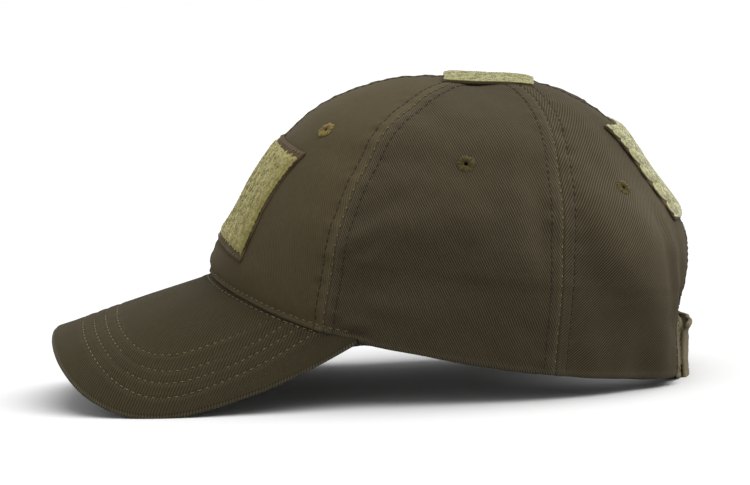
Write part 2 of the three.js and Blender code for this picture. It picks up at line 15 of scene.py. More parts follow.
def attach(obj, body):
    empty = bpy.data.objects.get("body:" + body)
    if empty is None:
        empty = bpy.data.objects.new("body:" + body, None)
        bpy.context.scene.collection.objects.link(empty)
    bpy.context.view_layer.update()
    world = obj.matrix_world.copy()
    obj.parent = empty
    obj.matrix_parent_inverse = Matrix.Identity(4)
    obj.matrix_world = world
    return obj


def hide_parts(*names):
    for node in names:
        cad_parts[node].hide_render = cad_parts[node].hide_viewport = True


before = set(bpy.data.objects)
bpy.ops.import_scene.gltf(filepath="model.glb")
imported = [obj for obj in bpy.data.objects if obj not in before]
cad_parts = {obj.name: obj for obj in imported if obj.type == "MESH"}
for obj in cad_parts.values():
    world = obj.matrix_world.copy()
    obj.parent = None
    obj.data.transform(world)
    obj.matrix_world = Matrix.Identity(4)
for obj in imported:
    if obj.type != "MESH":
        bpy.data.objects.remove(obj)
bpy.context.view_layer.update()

bl_info = {
    "name": "Tactical Cap",
    "version": (1, 0, 0),
    "blender": (4, 5, 0),
    "location": "3D Viewport > Sidebar > Cap",
    "description": "Builds a soft cap with a curved peak, loop patches and an open back",
    "category": "Add Mesh",
}

BODY = "root"
MM = 0.001

# Rest of the cap: how far it tips back, and where its worn frame's origin then lies
REST_TILT = math.radians(-2.5094584)
REST_SHIFT = np.array([0.00694, 32.39788, 7.84056])

# Crown
FRONT_REACH = 100
REAR_REACH = 98.5
HALF_WIDTH = 86.5
CROWN_HEIGHT = 118.7
APEX_BACK = 15
CROWN_WALL = 1.5
SEAM_GAP = 0.3
FRONT_LIFT = 36.7
APEX_HOLE = 1.2
FRONT_SEAM_ANGLE = 62
FRONT_SEAM_LEAN = 7.5
REAR_SEAM_ANGLE = 117.5
REAR_SEAM_LEAN = 16
PEAK_END_ANGLE = 62.5
HEM_LEVEL_ANGLE = 150
HEM_STEP_ANGLE = 5
HEM_FALL = 1.5
HEM_STEP = 0.03
CORNER_CLEARANCE = 0.6

# Peak
PEAK_LENGTH = 69
PEAK_RADIUS = 98
PEAK_DROOP = math.radians(19)
PEAK_FLARE = 7.2
PEAK_CORNER = 2.4
PEAK_BOARD = 2
PEAK_LINING = 1.2
LINING_INSET = 1.2
PEAK_FULLNESS = 2.9
PEAK_PADDING = 0.5
PEAK_FRONT_SHARE = 0.72

# Patches
BACKING = 0.8
PATCH_SEAT = 0.5
# Half width, height along the cloth, place above the hem, dip of the ends, pile, margins at the long
# edges and at the ends, rounding, how much narrower each side is at the top, fibres for each square mm
FRONT_PATCH = {"half": 43.5, "height": 49, "above": 16, "dip": 1.6, "pile": 0.75, "margin": 3.2, "end": 0.2,
               "round": 2.2, "taper": 0, "fibres": 1.7}
REAR_PATCH = {"half": 35.8, "height": 45, "above": 61.5, "dip": -0.4, "pile": 1.5, "margin": 0.8, "end": -1.2,
              "round": 4.5, "taper": 2.6, "fibres": 2.2}
TOP_PATCH = {"half": 19, "height": 36.4, "pile": 0.6, "margin": 0.4, "end": 0.2, "round": 3.0,
             "taper": 0, "fibres": 2.2}
TOP_PATCH_FRONT = -3.5
PILE_LEAST = 0.35
FIBRE_RADIUS = 0.09
FIBRE_LEAN = 0.55
# Notches between the lobes of the rear pile's ends: place along the end, depth
REAR_NOTCHES = [
    (42.0, 2.2), (37.6, 2.8), (32.6, 3.6), (25.4, 5.2), (16.6, 5.4), (7.6, 5.4), (2.0, 3.2),
]
NOTCH_WIDTH = 4.6
# Shares by which a stitch is darkened along its length: painted shadow at the holes at both ends, the middle
# left at the thread's own colour
STITCH_PAINTED_SHADE = np.array([0.95, 0.8, 0.05, 0.8, 0.95])

# Rear opening and strap
ARCH_HALF_WIDTH = 38
ARCH_HEIGHT = 54
ARCH_FULLNESS = 2.4
# How far the panel's cut lies outside the arch, under the binding
ARCH_CUT = 1.4
# How far the stitch row beside the arch, and the ends of the rear seam's rows, lie outside it
ARCH_ROW = 4.4
ARCH_ROW_CLEAR = 3
BINDING_WIDTH = 2.5
STRAP_WIDTH = 24
STRAP_WALL = 1.6
STRAP_LIFT = 0.5
STRAP_SEWN = 9
STRAP_LAP = 20
STRAP_SAG = 4
# Place of the outer end's middle at the lap, from the outside of the crown's wall
STRAP_OUTER_LAP = -1.6
# How far the strap's top edge rolls over
STRAP_CURL = 2.4
TACK_ACROSS = 33.0
# Loose threads at the foot of the arch: how many in all and on the left, radius and lowest place
FRAYS = 9
FRAYS_LEFT = 6
FRAY_RADIUS = 0.14
FRAY_LOWEST = -3.4

# Sweatband
BAND_WIDTH = 30
BAND_WALL = 1.2
BAND_CLEARANCE = 0.8
BAND_SHOWS = 0.4

# Middle profiles of the crown as (reach, rise) shares
FRONT_PROFILE = [
    (1.0, 0.0), (1.004, 0.075), (0.985, 0.156), (0.947, 0.238), (0.889, 0.358), (0.826, 0.48),
    (0.732, 0.642), (0.66, 0.748), (0.56, 0.849), (0.46, 0.915), (0.36, 0.96), (0.21, 1.0), (0.036, 1.007),
]
SIDE_PROFILE = [
    (0.975, 0.0), (0.992, 0.137), (1.0, 0.273), (0.985, 0.401), (0.948, 0.51), (0.89, 0.61),
    (0.81, 0.7), (0.74, 0.784), (0.63, 0.856), (0.495, 0.912), (0.345, 0.956), (0.18, 0.986),
]
REAR_PROFILE = [
    (1.0, 0.0), (0.999, 0.11), (0.994, 0.236), (0.986, 0.337), (0.982, 0.416), (0.967, 0.48),
    (0.937, 0.535), (0.88, 0.611), (0.821, 0.678), (0.753, 0.754), (0.679, 0.83), (0.596, 0.889),
    (0.494, 0.938), (0.394, 0.972), (0.273, 0.993),
]
# Plan fullness by climb: 2 is an ellipse, more is squarer
FULLNESS_CLIMB = [0, 0.25, 0.5, 0.72, 0.87, 1]
FULLNESS_FRONT = [2, 2.2, 2.3, 2.4, 2.3, 2.1]
FULLNESS_REAR = [2.5, 2.6, 2.9, 3.4, 3, 2.1]
# Soft dents of the crown: angle, climb, reach in degrees, reach in climb, depth as a share
DENTS = [
    (66, 0.3, 7, 0.07, 0.022), (82, 0.22, 13, 0.07, 0.024), (100, 0.1, 16, 0.06, 0.01),
    (109, 0.42, 5, 0.16, -0.01), (132, 0.52, 5, 0.12, 0.012), (150, 0.26, 6, 0.12, 0.012),
    (-70, 0.28, 10, 0.08, 0.024), (-92, 0.2, 14, 0.07, 0.018), (-110, 0.4, 5, 0.16, -0.008),
    (-142, 0.3, 8, 0.14, 0.014), (161, 0.1, 9, 0.12, 0.03), (-161, 0.1, 9, 0.12, 0.03),
]
# Smaller folds of the cloth: angle, climb, lean in degrees from upright, half length, half width and
# depth in millimetres
FOLDS = [
    (63.6, 0.02, 82, 5, 1.6, 1.5), (65.5, 0.045, 80, 6, 1.8, -0.7),
    (66.5, 0.228, 54, 9, 2.5, 1.3), (64.25, 0.251, 54, 8, 3.0, -0.8), (70, 0.1, 84, 9, 4.0, -0.9),
    (76, 0.285, 78, 30, 9.0, -1.8), (78, 0.165, 84, 32, 9.0, 2.2), (70, 0.33, 50, 15, 4.0, 0.7),
    (109, 0.25, 0, 13, 11.0, -1.7), (108.25, 0.35, 2, 22, 4.5, -1.0), (113.4, 0.3, 2, 20, 3.0, 0.9),
    (101.5, 0.27, 2, 18, 3.5, 0.6), (126, 0.55, -6, 16, 3.5, 0.7), (138, 0.29, -42, 44, 17.0, -3.4),
    (135.5, 0.235, -42, 34, 7.0, -1.2), (129, 0.16, -42, 30, 9.0, 1.8), (123, 0.33, -12, 26, 5.0, 1.2),
    (149, 0.25, -6, 18, 3.0, 0.7), (153, 0.2, -3, 22, 2.6, -0.9), (156.5, 0.2, 0, 20, 2.6, 0.8),
    (-72, 0.25, -46, 15, 4.5, 0.9), (-88, 0.18, -80, 26, 8.0, 1.6), (-90, 0.3, -80, 26, 8.0, -1.4),
    (-108, 0.36, -4, 20, 4.0, -0.9), (-128, 0.5, 6, 18, 3.5, 0.6), (-140, 0.27, 42, 34, 14.0, -2.4),
    (161, 0.24, 0, 14, 12.0, -1.5), (180, 0.47, 0, 14, 50.0, 1.3), (0, 0.2, 0, 14, 40.0, 1.5),
]
# Places of painted highlight, where the cloth is made paler where light falls on it: angle, climb, reach in
# degrees, reach in climb, share
PAINTED_HIGHLIGHTS = [
    (147, 0.37, 14, 0.13, 0.85), (134, 0.52, 12, 0.12, 0.25), (109, 0.33, 6, 0.14, 0.2),
    (85, 0.62, 26, 0.16, 0.12), (-147, 0.37, 14, 0.13, 0.5),
]
# Millimetres of cloth for each degree, as the folds' table takes it
FOLD_SPREAD = 1.5
# Directions over which the stiffened front gives way to soft cloth
SOFT_FROM = (52, 66)
# Directions over which the hem starts and ends being drawn in by the sweatband
TUCK_START = (66, 84)
TUCK_STOP = (138, 152)
EYELETS = {"front": (36.7, 0.52), "side": (92.2, 0.47), "rear": (139.2, 0.435)}
# Share by which an eyelet's thread is darkened as painted shade: the side and rear ones are shaded, the front
# ones left at the thread's own colour
EYELET_PAINTED_SHADE = {"front": 0.0, "side": 1.0, "rear": 0.75}
EYELET_RADIUS = 2.35
EYELET_HOLE = 2.2
EYELET_RIDGES = 34
EYELET_SIZES = {"front": 0.95, "side": 0.95, "rear": 0.82}

# Sewing, in millimetres
SEAM_SIDE_ROW = 4.2
SEAM_REAR_ROW = 4.8
SEAM_CENTRE_ROW = 3.0
HEM_ROW = 3.0
PEAK_SEAM_ROW = 3.2
PEAK_SEAM_SHARE = 0.86
CLOTH_HEIGHT = 150
BAND_TOP = 28
BAND_TUCK = 3.2
PEAK_ROWS = [
    # widest half width, forward place of the widest, tip offset, fullness, draw in to the rear
    (87.6, 12, 13.0, 2.7, 0.00346),
    (81.6, 7, 18.0, 2.8, 0.0053),
    (76.1, 5, 23.0, 2.9, 0.0062),
    (67.2, 4, 28.0, 3.15, 0.0040),
]
# Pitch, length and radius of the stitches between the panels and of the strap's tacks
SEAM_STITCH = (3.8, 1.6, 0.24)
TACK_STITCH = (1.2, 1.3, 0.2)

# Stage: the cap's middle in millimetres, where it lies in the picture, the picture's middle and scale
CAP_MIDDLE = np.array([0.0, 1.4, 56.08])
CAP_PIXEL = (456, 228)
MIDDLE_PIXEL = (375, 242.5)
PICTURE_WIDTH = 750
MM_PER_PIXEL = 0.415
SENSOR_WIDTH = 36
LAMP_FROM = (0.22, 0.5, 1.3)
FLOOR_HALF = 6.0


def lerp(a, b, t):
    """Value a share t of the way from a to b."""
    return a + (b - a) * t


def smooth(x, low, high):
    """Rise from 0 at low to 1 at high: three times the square less twice the cube of the share."""
    t = np.clip((x - low) / (high - low), 0, 1)
    return t * t * (3 - 2 * t)


def bump(x, width):
    """Bell of height one: e to the minus square of x over width."""
    return np.exp(-((x / width) ** 2))


def bell(x, y, at, up, wide, tall):
    """Bell of height one round a place of two coordinates."""
    return np.exp(-(((x - at) / wide) ** 2) - ((y - up) / tall) ** 2)


def wrap(angle):
    """The same direction between -180 and 180 degrees."""
    return (angle + 180) % 360 - 180


def circle(count):
    """Turns of evenly spaced points round a circle."""
    return np.linspace(0, 2 * np.pi, count, endpoint=False)


def walked(points):
    """Length walked along a line of points, from its first one."""
    return np.concatenate([[0], np.cumsum(np.linalg.norm(np.diff(points, axis=0), axis=-1))])


def solve(low, high, falling, count=34):
    """Halves the span between low and high until the falling function's zero is found."""
    for _ in range(count):
        middle = (low + high) / 2
        up = falling(middle) > 0
        low = np.where(up, middle, low)
        high = np.where(up, high, middle)
    return (low + high) / 2


def waves(places, length, seed, count=18):
    """Smooth unit noise: a sum of sine waves in random directions, of about one wave length."""
    rng = np.random.default_rng(seed)
    places = np.asarray(places, float)
    total = np.zeros(places.shape[:-1])
    for _ in range(count):
        direction = rng.normal(size=places.shape[-1])
        direction /= np.linalg.norm(direction)
        turn = 2 * np.pi / (length * rng.uniform(0.65, 1.5))
        total += np.sin(places @ direction * turn + rng.uniform(0, 2 * np.pi))
    return total / math.sqrt(count / 2)


def ripple(along, length, seed):
    """Smooth unit noise along a line."""
    return waves(np.asarray(along, float)[..., None], length, seed, 9)


def oval(across, along, across_reach, along_reach, fullness):
    """Radius of a superellipse in the direction (across, along)."""
    total = np.abs(across / across_reach) ** fullness + np.abs(along / along_reach) ** fullness
    return total ** (-1 / fullness)


class Profile:
    """Smooth curve through (reach, rise) points, read by the share of its length."""

    def __init__(self, rows, apex):
        self.points = np.array([*rows, (apex, 1.0)])
        self.steps = np.linspace(0, 1, 201)
        self.lengths = walked(self.at(self.steps))

    def at(self, t):
        """Cubic through the points, whose slope at each one follows its two neighbours."""
        last = len(self.points) - 1
        place = t * last
        low = np.minimum(np.floor(place).astype(int), last)
        w = (place - low)[..., None]
        p0 = self.points[np.maximum(low - 1, 0)]
        p1 = self.points[low]
        p2 = self.points[np.minimum(low + 1, last)]
        p3 = self.points[np.minimum(low + 2, last)]
        v0 = (p2 - p0) / 2
        v1 = (p3 - p1) / 2
        return (2 * p1 - 2 * p2 + v0 + v1) * w**3 + (-3 * p1 + 3 * p2 - 2 * v0 - v1) * w**2 + v0 * w + p1

    def __call__(self, climb):
        share = np.clip(climb, 0, 1) * self.lengths[-1]
        spots = self.at(np.interp(share, self.lengths, self.steps))
        return spots[..., 0], spots[..., 1]


front_profile = Profile(FRONT_PROFILE, -APEX_BACK / FRONT_REACH)
side_profile = Profile(SIDE_PROFILE, 0)
rear_profile = Profile(REAR_PROFILE, APEX_BACK / REAR_REACH)


def plan(angle, climb, inset=0):
    """Plan place of the crown: a superellipse whose reaches follow the middle profiles."""
    angle, climb = np.broadcast_arrays(np.asarray(angle, float), np.asarray(climb, float))
    side, _ = side_profile(climb)
    front, _ = front_profile(climb)
    rear, _ = rear_profile(climb)
    across = np.sin(np.radians(angle))
    along = np.cos(np.radians(angle))
    ahead = along > 0
    middle = APEX_BACK * (1 - np.minimum(1, side / SIDE_PROFILE[0][0]))
    reach = np.where(ahead, FRONT_REACH * front + middle, REAR_REACH * rear - middle)
    full = np.where(
        ahead,
        np.interp(climb, FULLNESS_CLIMB, FULLNESS_FRONT),
        np.interp(climb, FULLNESS_CLIMB, FULLNESS_REAR),
    )
    radius = oval(across, along, HALF_WIDTH * side - inset, reach - inset, full)
    return radius * across, middle - radius * along, middle, radius


def peak_height(x, y):
    """Height of the peak's top face over a plan place: a drooping cylinder."""
    across = np.minimum(np.abs(x), PEAK_RADIUS * 0.999)
    sag = PEAK_RADIUS - np.sqrt(PEAK_RADIUS**2 - across**2)
    forward = (-FRONT_REACH + sag * math.sin(PEAK_DROOP) - y) / math.cos(PEAK_DROOP)
    return FRONT_LIFT - forward * math.sin(PEAK_DROOP) - sag * math.cos(PEAK_DROOP)


def peak_point(across, forward):
    """Place on the peak by length across its curve and length down its slope."""
    turn = across / PEAK_RADIUS
    sag = PEAK_RADIUS * (1 - np.cos(turn))
    return np.stack([
        PEAK_RADIUS * np.sin(turn),
        -FRONT_REACH - forward * math.cos(PEAK_DROOP) + sag * math.sin(PEAK_DROOP),
        FRONT_LIFT - forward * math.sin(PEAK_DROOP) - sag * math.cos(PEAK_DROOP),
    ], axis=-1)


def peak_seam(share):
    """Across and forward of the peak's sewn edge, at a share of its width."""
    x, y, _, _ = plan(PEAK_END_ANGLE * share, 0, CROWN_WALL)
    across = PEAK_RADIUS * np.arcsin(np.clip(x / PEAK_RADIUS, -0.999, 0.999))
    sag = PEAK_RADIUS * (1 - np.cos(across / PEAK_RADIUS))
    return across, (-FRONT_REACH + sag * math.sin(PEAK_DROOP) - y) / math.cos(PEAK_DROOP)


CORNER_ACROSS, CORNER_FORWARD = (float(v) for v in peak_seam(1.0))
CORNER_TIP = peak_point(np.array(CORNER_ACROSS + PEAK_CORNER), np.array(CORNER_FORWARD))
CORNER_ANGLE = math.degrees(math.atan2(CORNER_TIP[0], -CORNER_TIP[1])) + CORNER_CLEARANCE
WIDEST = CORNER_ACROSS + PEAK_CORNER + PEAK_FLARE


def hem_height(angle):
    """Height of the hem: on the peak in front, then falling to the level rear."""
    turn = np.abs(angle)
    x, y, _, _ = plan(np.minimum(turn, CORNER_ANGLE), 0)
    on_peak = peak_height(x, y) + SEAM_GAP
    step = HEM_STEP * smooth(turn - CORNER_ANGLE, 0, HEM_STEP_ANGLE)
    left = 1 - np.clip((turn - CORNER_ANGLE) / (HEM_LEVEL_ANGLE - CORNER_ANGLE), 0, 1)
    return np.where(turn <= CORNER_ANGLE, on_peak, on_peak * (1 - step) * left**HEM_FALL)


def crown(angle, climb):
    """Outside of the crown: plan place pulled in by the dents, at the profiles' height."""
    angle, climb = np.broadcast_arrays(np.asarray(angle, float), np.asarray(climb, float))
    x, y, middle, _ = plan(angle, climb)
    _, side_rise = side_profile(climb)
    _, front_rise = front_profile(climb)
    _, rear_rise = rear_profile(climb)
    along = np.cos(np.radians(angle))
    rise = lerp(side_rise, np.where(along > 0, front_rise, rear_rise), along**2)
    hem = hem_height(angle)
    pull = np.ones_like(rise)
    for at, up, wide, tall, depth in DENTS:
        pull -= depth * bell(angle, climb, at, up, wide, tall)
    return np.stack([x * pull, middle + (y - middle) * pull, hem + (CROWN_HEIGHT - hem) * rise], axis=-1)


def unit(v):
    """The same directions with a length of one."""
    return v / np.maximum(np.linalg.norm(v, axis=-1, keepdims=True), 1e-12)


def normal_of(surface, u, w, step_u=0.02, step_w=0.0004):
    """Outward normal: the cross product of the surface's two slopes."""
    along_u = surface(u + step_u, w) - surface(u - step_u, w)
    along_w = surface(u, w + step_w) - surface(u, w - step_w)
    return unit(np.cross(along_u, along_w))


def front_seam(climb):
    """The front side seam leans forward towards the hem."""
    return FRONT_SEAM_ANGLE - FRONT_SEAM_LEAN * (1 - climb) ** 3


def rear_seam(climb):
    """The rear side seam leans back towards the top."""
    return REAR_SEAM_ANGLE + REAR_SEAM_LEAN * climb**2


def front_middle(climb):
    """The seam between the front panels runs straight up."""
    return 0 * climb


def rear_middle(climb):
    """The seam between the rear panels runs straight up."""
    return 180 + 0 * climb


# Seams of the crown: direction by climb, and how far its stitch rows lie from it
SEAMS = [
    (front_middle, SEAM_CENTRE_ROW),
    (front_seam, SEAM_SIDE_ROW),
    (lambda climb: -front_seam(climb), SEAM_SIDE_ROW),
    (rear_seam, SEAM_REAR_ROW),
    (lambda climb: -rear_seam(climb), SEAM_REAR_ROW),
    (rear_middle, SEAM_CENTRE_ROW),
]


def spread(angle, climb):
    """Millimetres of cloth for each degree, at a place of the crown."""
    step = 0.05
    return np.linalg.norm(crown(angle + step, climb) - crown(angle - step, climb), axis=-1) / (2 * step)


def seam_relief(angle, climb):
    """Relief of the sewn seams: a groove, a raised allowance on each side, the sunk stitch rows and the
    puckers that they draw. Also the share by which a place is a worn ridge."""
    relief = np.zeros(np.broadcast(angle, climb).shape)
    worn = np.zeros_like(relief)
    taper = smooth(1 - climb, 0.02, 0.12)
    for number, (seam, row) in enumerate(SEAMS):
        line = seam(climb)
        away = wrap(angle - line) * spread(line, climb)
        near = np.abs(away)
        along = climb * CLOTH_HEIGHT
        pucker = np.where(away > 0, ripple(along, 7.5, 11 + number), ripple(along, 7.5, 31 + number))
        allowance = 0.24 * (1 - smooth(near, row * 0.8, row * 1.05))
        relief += taper * (
            allowance
            - 0.75 * bump(near, 0.75)
            - 0.16 * bump(near - row, 0.5)
            + 0.15 * pucker * bump(near - row, 3.0)
        )
        worn += 0.5 * bump(near - 1.1, 0.8) + 0.15 * bump(near - row + 1, 1.0)
    return relief, worn


def fold_relief(angle, climb):
    """Relief of the folds: long bells that lean from the upright."""
    relief = np.zeros(np.broadcast(angle, climb).shape)
    for at, up, lean, long, wide, depth in FOLDS:
        across = wrap(angle - at) * FOLD_SPREAD
        rise = (climb - up) * CLOTH_HEIGHT
        turn = math.radians(lean)
        run = across * math.sin(turn) + rise * math.cos(turn)
        off = across * math.cos(turn) - rise * math.sin(turn)
        relief -= depth * bell(run, off, 0, 0, long, wide)
    return relief


def softness(angle):
    """Share of softness: the front panels are stiffened and the others aren't."""
    return smooth(np.abs(angle), *SOFT_FROM)


def cloth_relief(angle, climb):
    """All of the crown's fine relief in millimetres, and its share of paling: worn ridges and edges, and
    painted highlight where light falls.
    """
    relief, worn = seam_relief(angle, climb)
    soft = softness(angle)
    places = crown(angle, climb)
    height = climb * CLOTH_HEIGHT
    relief += fold_relief(angle, climb)
    relief += (0.07 + 0.2 * soft) * waves(places, 26, 5) + (0.02 + 0.05 * soft) * waves(places, 9, 6)
    relief -= 0.7 * bump(height, 0.8)
    band = 1 - smooth(height, BAND_TOP - 1, BAND_TOP + 2.5)
    drawn_in = smooth(np.abs(angle), *TUCK_START)
    let_out = 1 - smooth(np.abs(angle), *TUCK_STOP)
    tucked = BAND_TUCK * (1 - np.clip(height / BAND_TOP, 0, 1)) * drawn_in * let_out
    relief -= soft * (band * (0.75 + 0.25 * waves(places, 20, 7)) + tucked)
    in_front = 1 - smooth(np.abs(angle), CORNER_ANGLE - 1, CORNER_ANGLE + 1)
    relief += in_front * (0.5 * bump(height - HEM_ROW * 0.5, 1.1) - 0.4 * bump(height - HEM_ROW, 0.6))
    relief += in_front * 0.12 * ripple(angle, 5, 21) * bump(height - HEM_ROW, 2.5)
    worn += 0.8 * bump(height - 0.9, 0.9)
    # painted highlight: the places where light falls on the crown are made paler through the same share as
    # the worn places
    for at, up, wide, tall, share in PAINTED_HIGHLIGHTS:
        worn += share * bell(angle, climb, at, up, wide, tall)
    return relief, worn


def cloth(angle, climb, lift=0.0):
    """Finished outside of the crown, with its relief, lifted along the normal."""
    relief, _ = cloth_relief(angle, climb)
    normals = normal_of(crown, angle, climb)
    return crown(angle, climb) + normals * (relief + lift)[..., None], normals


def angle_at_x(x, climb, rear):
    """Direction in which the front or rear crown lies over x, at a climb."""
    reach = np.abs(x)
    low = np.full(np.shape(reach), 90.0 if rear else 0.0)
    side = 1 if rear else -1
    turn = solve(low, low + 90, lambda a: side * (plan(a, climb)[0] - reach), 26)
    return turn * np.where(x < 0, -1, 1)


def climb_after(angle, start, length):
    """Climb after a length of cloth from another climb, in one direction."""
    step = 0.005
    climbs = np.arange(start, 1, step)
    lengths = walked(crown(np.full(len(climbs), float(angle)), climbs))
    return start + step * int(np.searchsorted(lengths, length))


def rear_place(x, z):
    """Direction and climb of the rear crown over x at a height."""
    shape = np.broadcast(x, z).shape
    x = np.broadcast_to(x, shape)
    climb = solve(np.zeros(shape), np.full(shape, 0.9),
                  lambda c: z - crown(angle_at_x(x, c, True), c)[..., 2], 22)
    return angle_at_x(x, climb, True), climb


def rear_surface(x, z):
    """Rear crown by x and height, carried straight down below the hem."""
    angle, climb = rear_place(x, z)
    point = crown(angle, climb)
    return np.stack(np.broadcast_arrays(x, point[..., 1], z), axis=-1)


def crown_over(x, y):
    """Direction and climb of the crown over a plan place near its top."""
    def gap(climb):
        _, _, middle, _ = plan(0, climb)
        angle = np.degrees(np.arctan2(x, middle - y))
        return plan(angle, climb)[3] - np.hypot(x, y - middle)
    climb = solve(np.full(np.shape(x), 0.4), np.ones(np.shape(x)), gap)
    _, _, middle, _ = plan(0, climb)
    return np.degrees(np.arctan2(x, middle - y)), climb


PANEL_TOP = float(solve(np.array(0.5), np.array(1.0), lambda climb: plan(90, climb)[3] - APEX_HOLE))


def lay(points):
    """Worn frame in millimetres to the resting frame in metres."""
    c, s = math.cos(REST_TILT), math.sin(REST_TILT)
    x, y, z = points[..., 0], points[..., 1], points[..., 2]
    return (np.stack([x, y * c - z * s, y * s + z * c], axis=-1) + REST_SHIFT) * MM


def make_mesh(name, points, quads, finish, slot, nodes=(), uv=None, marks=None):
    """New piece from points in the worn frame and four-cornered faces."""
    quads = np.asarray(quads, np.int64).reshape(-1, 4)
    used, quads = np.unique(quads, return_inverse=True)
    quads = quads.reshape(-1, 4)
    mesh = bpy.data.meshes.new(name)
    mesh.vertices.add(len(used))
    mesh.vertices.foreach_set("co", lay(points[used]).astype(np.float32).ravel())
    mesh.loops.add(quads.size)
    mesh.loops.foreach_set("vertex_index", quads.astype(np.int32).ravel())
    mesh.polygons.add(len(quads))
    mesh.polygons.foreach_set("loop_start", np.arange(0, quads.size, 4, dtype=np.int32))
    mesh.polygons.foreach_set("loop_total", np.full(len(quads), 4, np.int32))
    mesh.polygons.foreach_set("use_smooth", np.ones(len(quads), bool))
    mesh.update(calc_edges=True)
    if uv is not None:
        layer = mesh.uv_layers.new(name="cloth")
        layer.data.foreach_set("uv", uv[used][quads.ravel()].astype(np.float32).ravel())
    for mark, values in (marks or {}).items():
        mesh.attributes.new(mark, "FLOAT", "POINT").data.foreach_set("value", values[used].astype(np.float32))
    mesh.validate()
    piece = bpy.data.objects.new(name, mesh)
    bpy.context.scene.collection.objects.link(piece)
    mesh.materials.append(materials()[finish])
    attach(piece, BODY)
    for node in nodes:
        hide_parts(node)
    return piece


def cells(ids):
    """Corners of a grid's faces, counter-clockwise when its columns run right and its rows up."""
    return np.stack([ids[..., :-1, :-1], ids[..., :-1, 1:], ids[..., 1:, 1:], ids[..., 1:, :-1]], axis=-1)


def border(ids):
    """Ids round a grid: its first row, last column, last row and first column."""
    return np.concatenate([ids[0, :], ids[1:, -1], ids[-1, -2::-1], ids[-2:0:-1, 0]])


def sheet_body(outer, inner, hole=None, rounds=2, push=None):
    """Closed body between two grids: both faces, a rounded rim, and walls round the cells left out.
    Each rim ring lies on a half circle between the two edges."""
    rows, columns = outer.shape[:2]
    count = rows * columns
    ids = np.arange(count).reshape(rows, columns)
    keep = np.ones((rows - 1, columns - 1), bool) if hole is None else ~hole
    faces = cells(ids)[keep]
    quads = [faces, faces[:, ::-1] + count]
    loop = border(ids)
    edge_keep = np.concatenate([keep[0, :], keep[:, -1], keep[-1, ::-1], keep[::-1, 0]])
    inward = np.concatenate([ids[1, :], ids[1:, -2], ids[-2, -2::-1], ids[-2:0:-1, 1]])
    flat_outer = outer.reshape(-1, 3)
    flat_inner = inner.reshape(-1, 3)
    middle = (flat_outer[loop] + flat_inner[loop]) / 2
    half = (flat_outer[loop] - flat_inner[loop]) / 2
    reach = np.linalg.norm(half, axis=-1, keepdims=True) if push is None else push
    towards = (flat_outer[inward] + flat_inner[inward]) / 2
    away = middle - towards
    size = np.maximum(np.sum(half * half, axis=-1, keepdims=True), 1e-9)
    away = unit(away - half * (np.sum(away * half, axis=-1, keepdims=True) / size))
    points = [flat_outer, flat_inner]
    rings = [loop]
    for ring in range(1, rounds + 1):
        turn = math.pi * ring / (rounds + 1)
        points.append(middle + half * math.cos(turn) + away * reach * math.sin(turn))
        rings.append(2 * count + (ring - 1) * len(loop) + np.arange(len(loop)))
    rings.append(loop + count)
    follow = np.roll(np.arange(len(loop)), -1)
    for upper, lower in zip(rings[:-1], rings[1:]):
        strip = np.stack([lower, lower[follow], upper[follow], upper], axis=-1)
        quads.append(strip[edge_keep])
    if hole is not None:
        left, right, low, high = keep[:, :-1], keep[:, 1:], keep[:-1], keep[1:]
        # each side of the holes: its cells, and where its two corners lie from a cell's own corner
        for edge, first, second in (
            (left & ~right, (0, 1), (1, 1)),
            (~left & right, (1, 1), (0, 1)),
            (low & ~high, (1, 1), (1, 0)),
            (~low & high, (1, 0), (1, 1)),
        ):
            r, c = np.nonzero(edge)
            a, b = (ids[r + down, c + along] for down, along in (first, second))
            quads.append(np.stack([a + count, b + count, b, a], axis=-1))
    return np.concatenate(points), np.concatenate(quads)


def rim_values(values, shape, extra):
    """Values at the border of a grid, in the order of sheet_body's rim, for each ring."""
    rows, columns = shape
    loop = border(np.arange(rows * columns).reshape(rows, columns))
    flat = values.reshape(rows * columns, -1)
    return np.concatenate([flat, flat, *[flat[loop]] * (extra // len(loop))])


def cloth_uv(points, turn):
    """Cloth coordinates of a grid: lengths across from its middle column and up from its first row,
    turned so that the wales run along the second one. One unit is 100 mm."""
    across = np.concatenate([np.zeros((len(points), 1)),
                             np.cumsum(np.linalg.norm(np.diff(points, axis=1), axis=-1), axis=1)], axis=1)
    across -= across[:, -1:] / 2
    up = np.broadcast_to(walked(points[:, points.shape[1] // 2])[:, None], across.shape)
    turn = math.radians(turn)
    return np.stack([across * math.cos(turn) + up * math.sin(turn),
                     up * math.cos(turn) - across * math.sin(turn)], axis=-1) / 100


def add_sheet(name, outer, inner, turn=0.0, hole=None, rounds=2, push=None, marks=None, **rest):
    """Cloth piece between two grids, with cloth coordinates and marks for wear and painted highlight."""
    points, quads = sheet_body(outer, inner, hole, rounds, push)
    shape = outer.shape[:2]
    extra = len(points) - 2 * shape[0] * shape[1]
    uv = rim_values(cloth_uv(outer, turn), shape, extra)
    all_marks = {key: rim_values(value, shape, extra)[:, 0] for key, value in (marks or {}).items()}
    return make_mesh(name, points, quads, uv=uv, marks=all_marks, **rest)


def graded(count, edge, share):
    """Values from 0 to 1 that crowd near both ends: a share of the columns lies within edge."""
    even = np.linspace(0, 1, count)
    at = [0, share / 2, 1 - share / 2, 1]
    return np.interp(even, at, [0, edge, 1 - edge, 1])


def tube(path, normals, radius_side, radius_up, sides, taper=None):
    """Points of closed tubes: an oval section carried along each path of a stack of paths."""
    ahead = unit(np.gradient(path, axis=1))
    across = unit(np.cross(ahead, normals))
    up = np.cross(across, ahead)
    turn = circle(sides)
    size = np.ones(path.shape[1]) if taper is None else taper
    ring = (across[:, :, None] * np.cos(turn)[None, None, :, None] * radius_side
            + up[:, :, None] * np.sin(turn)[None, None, :, None] * radius_up) * size[None, :, None, None]
    return path[:, :, None] + ring


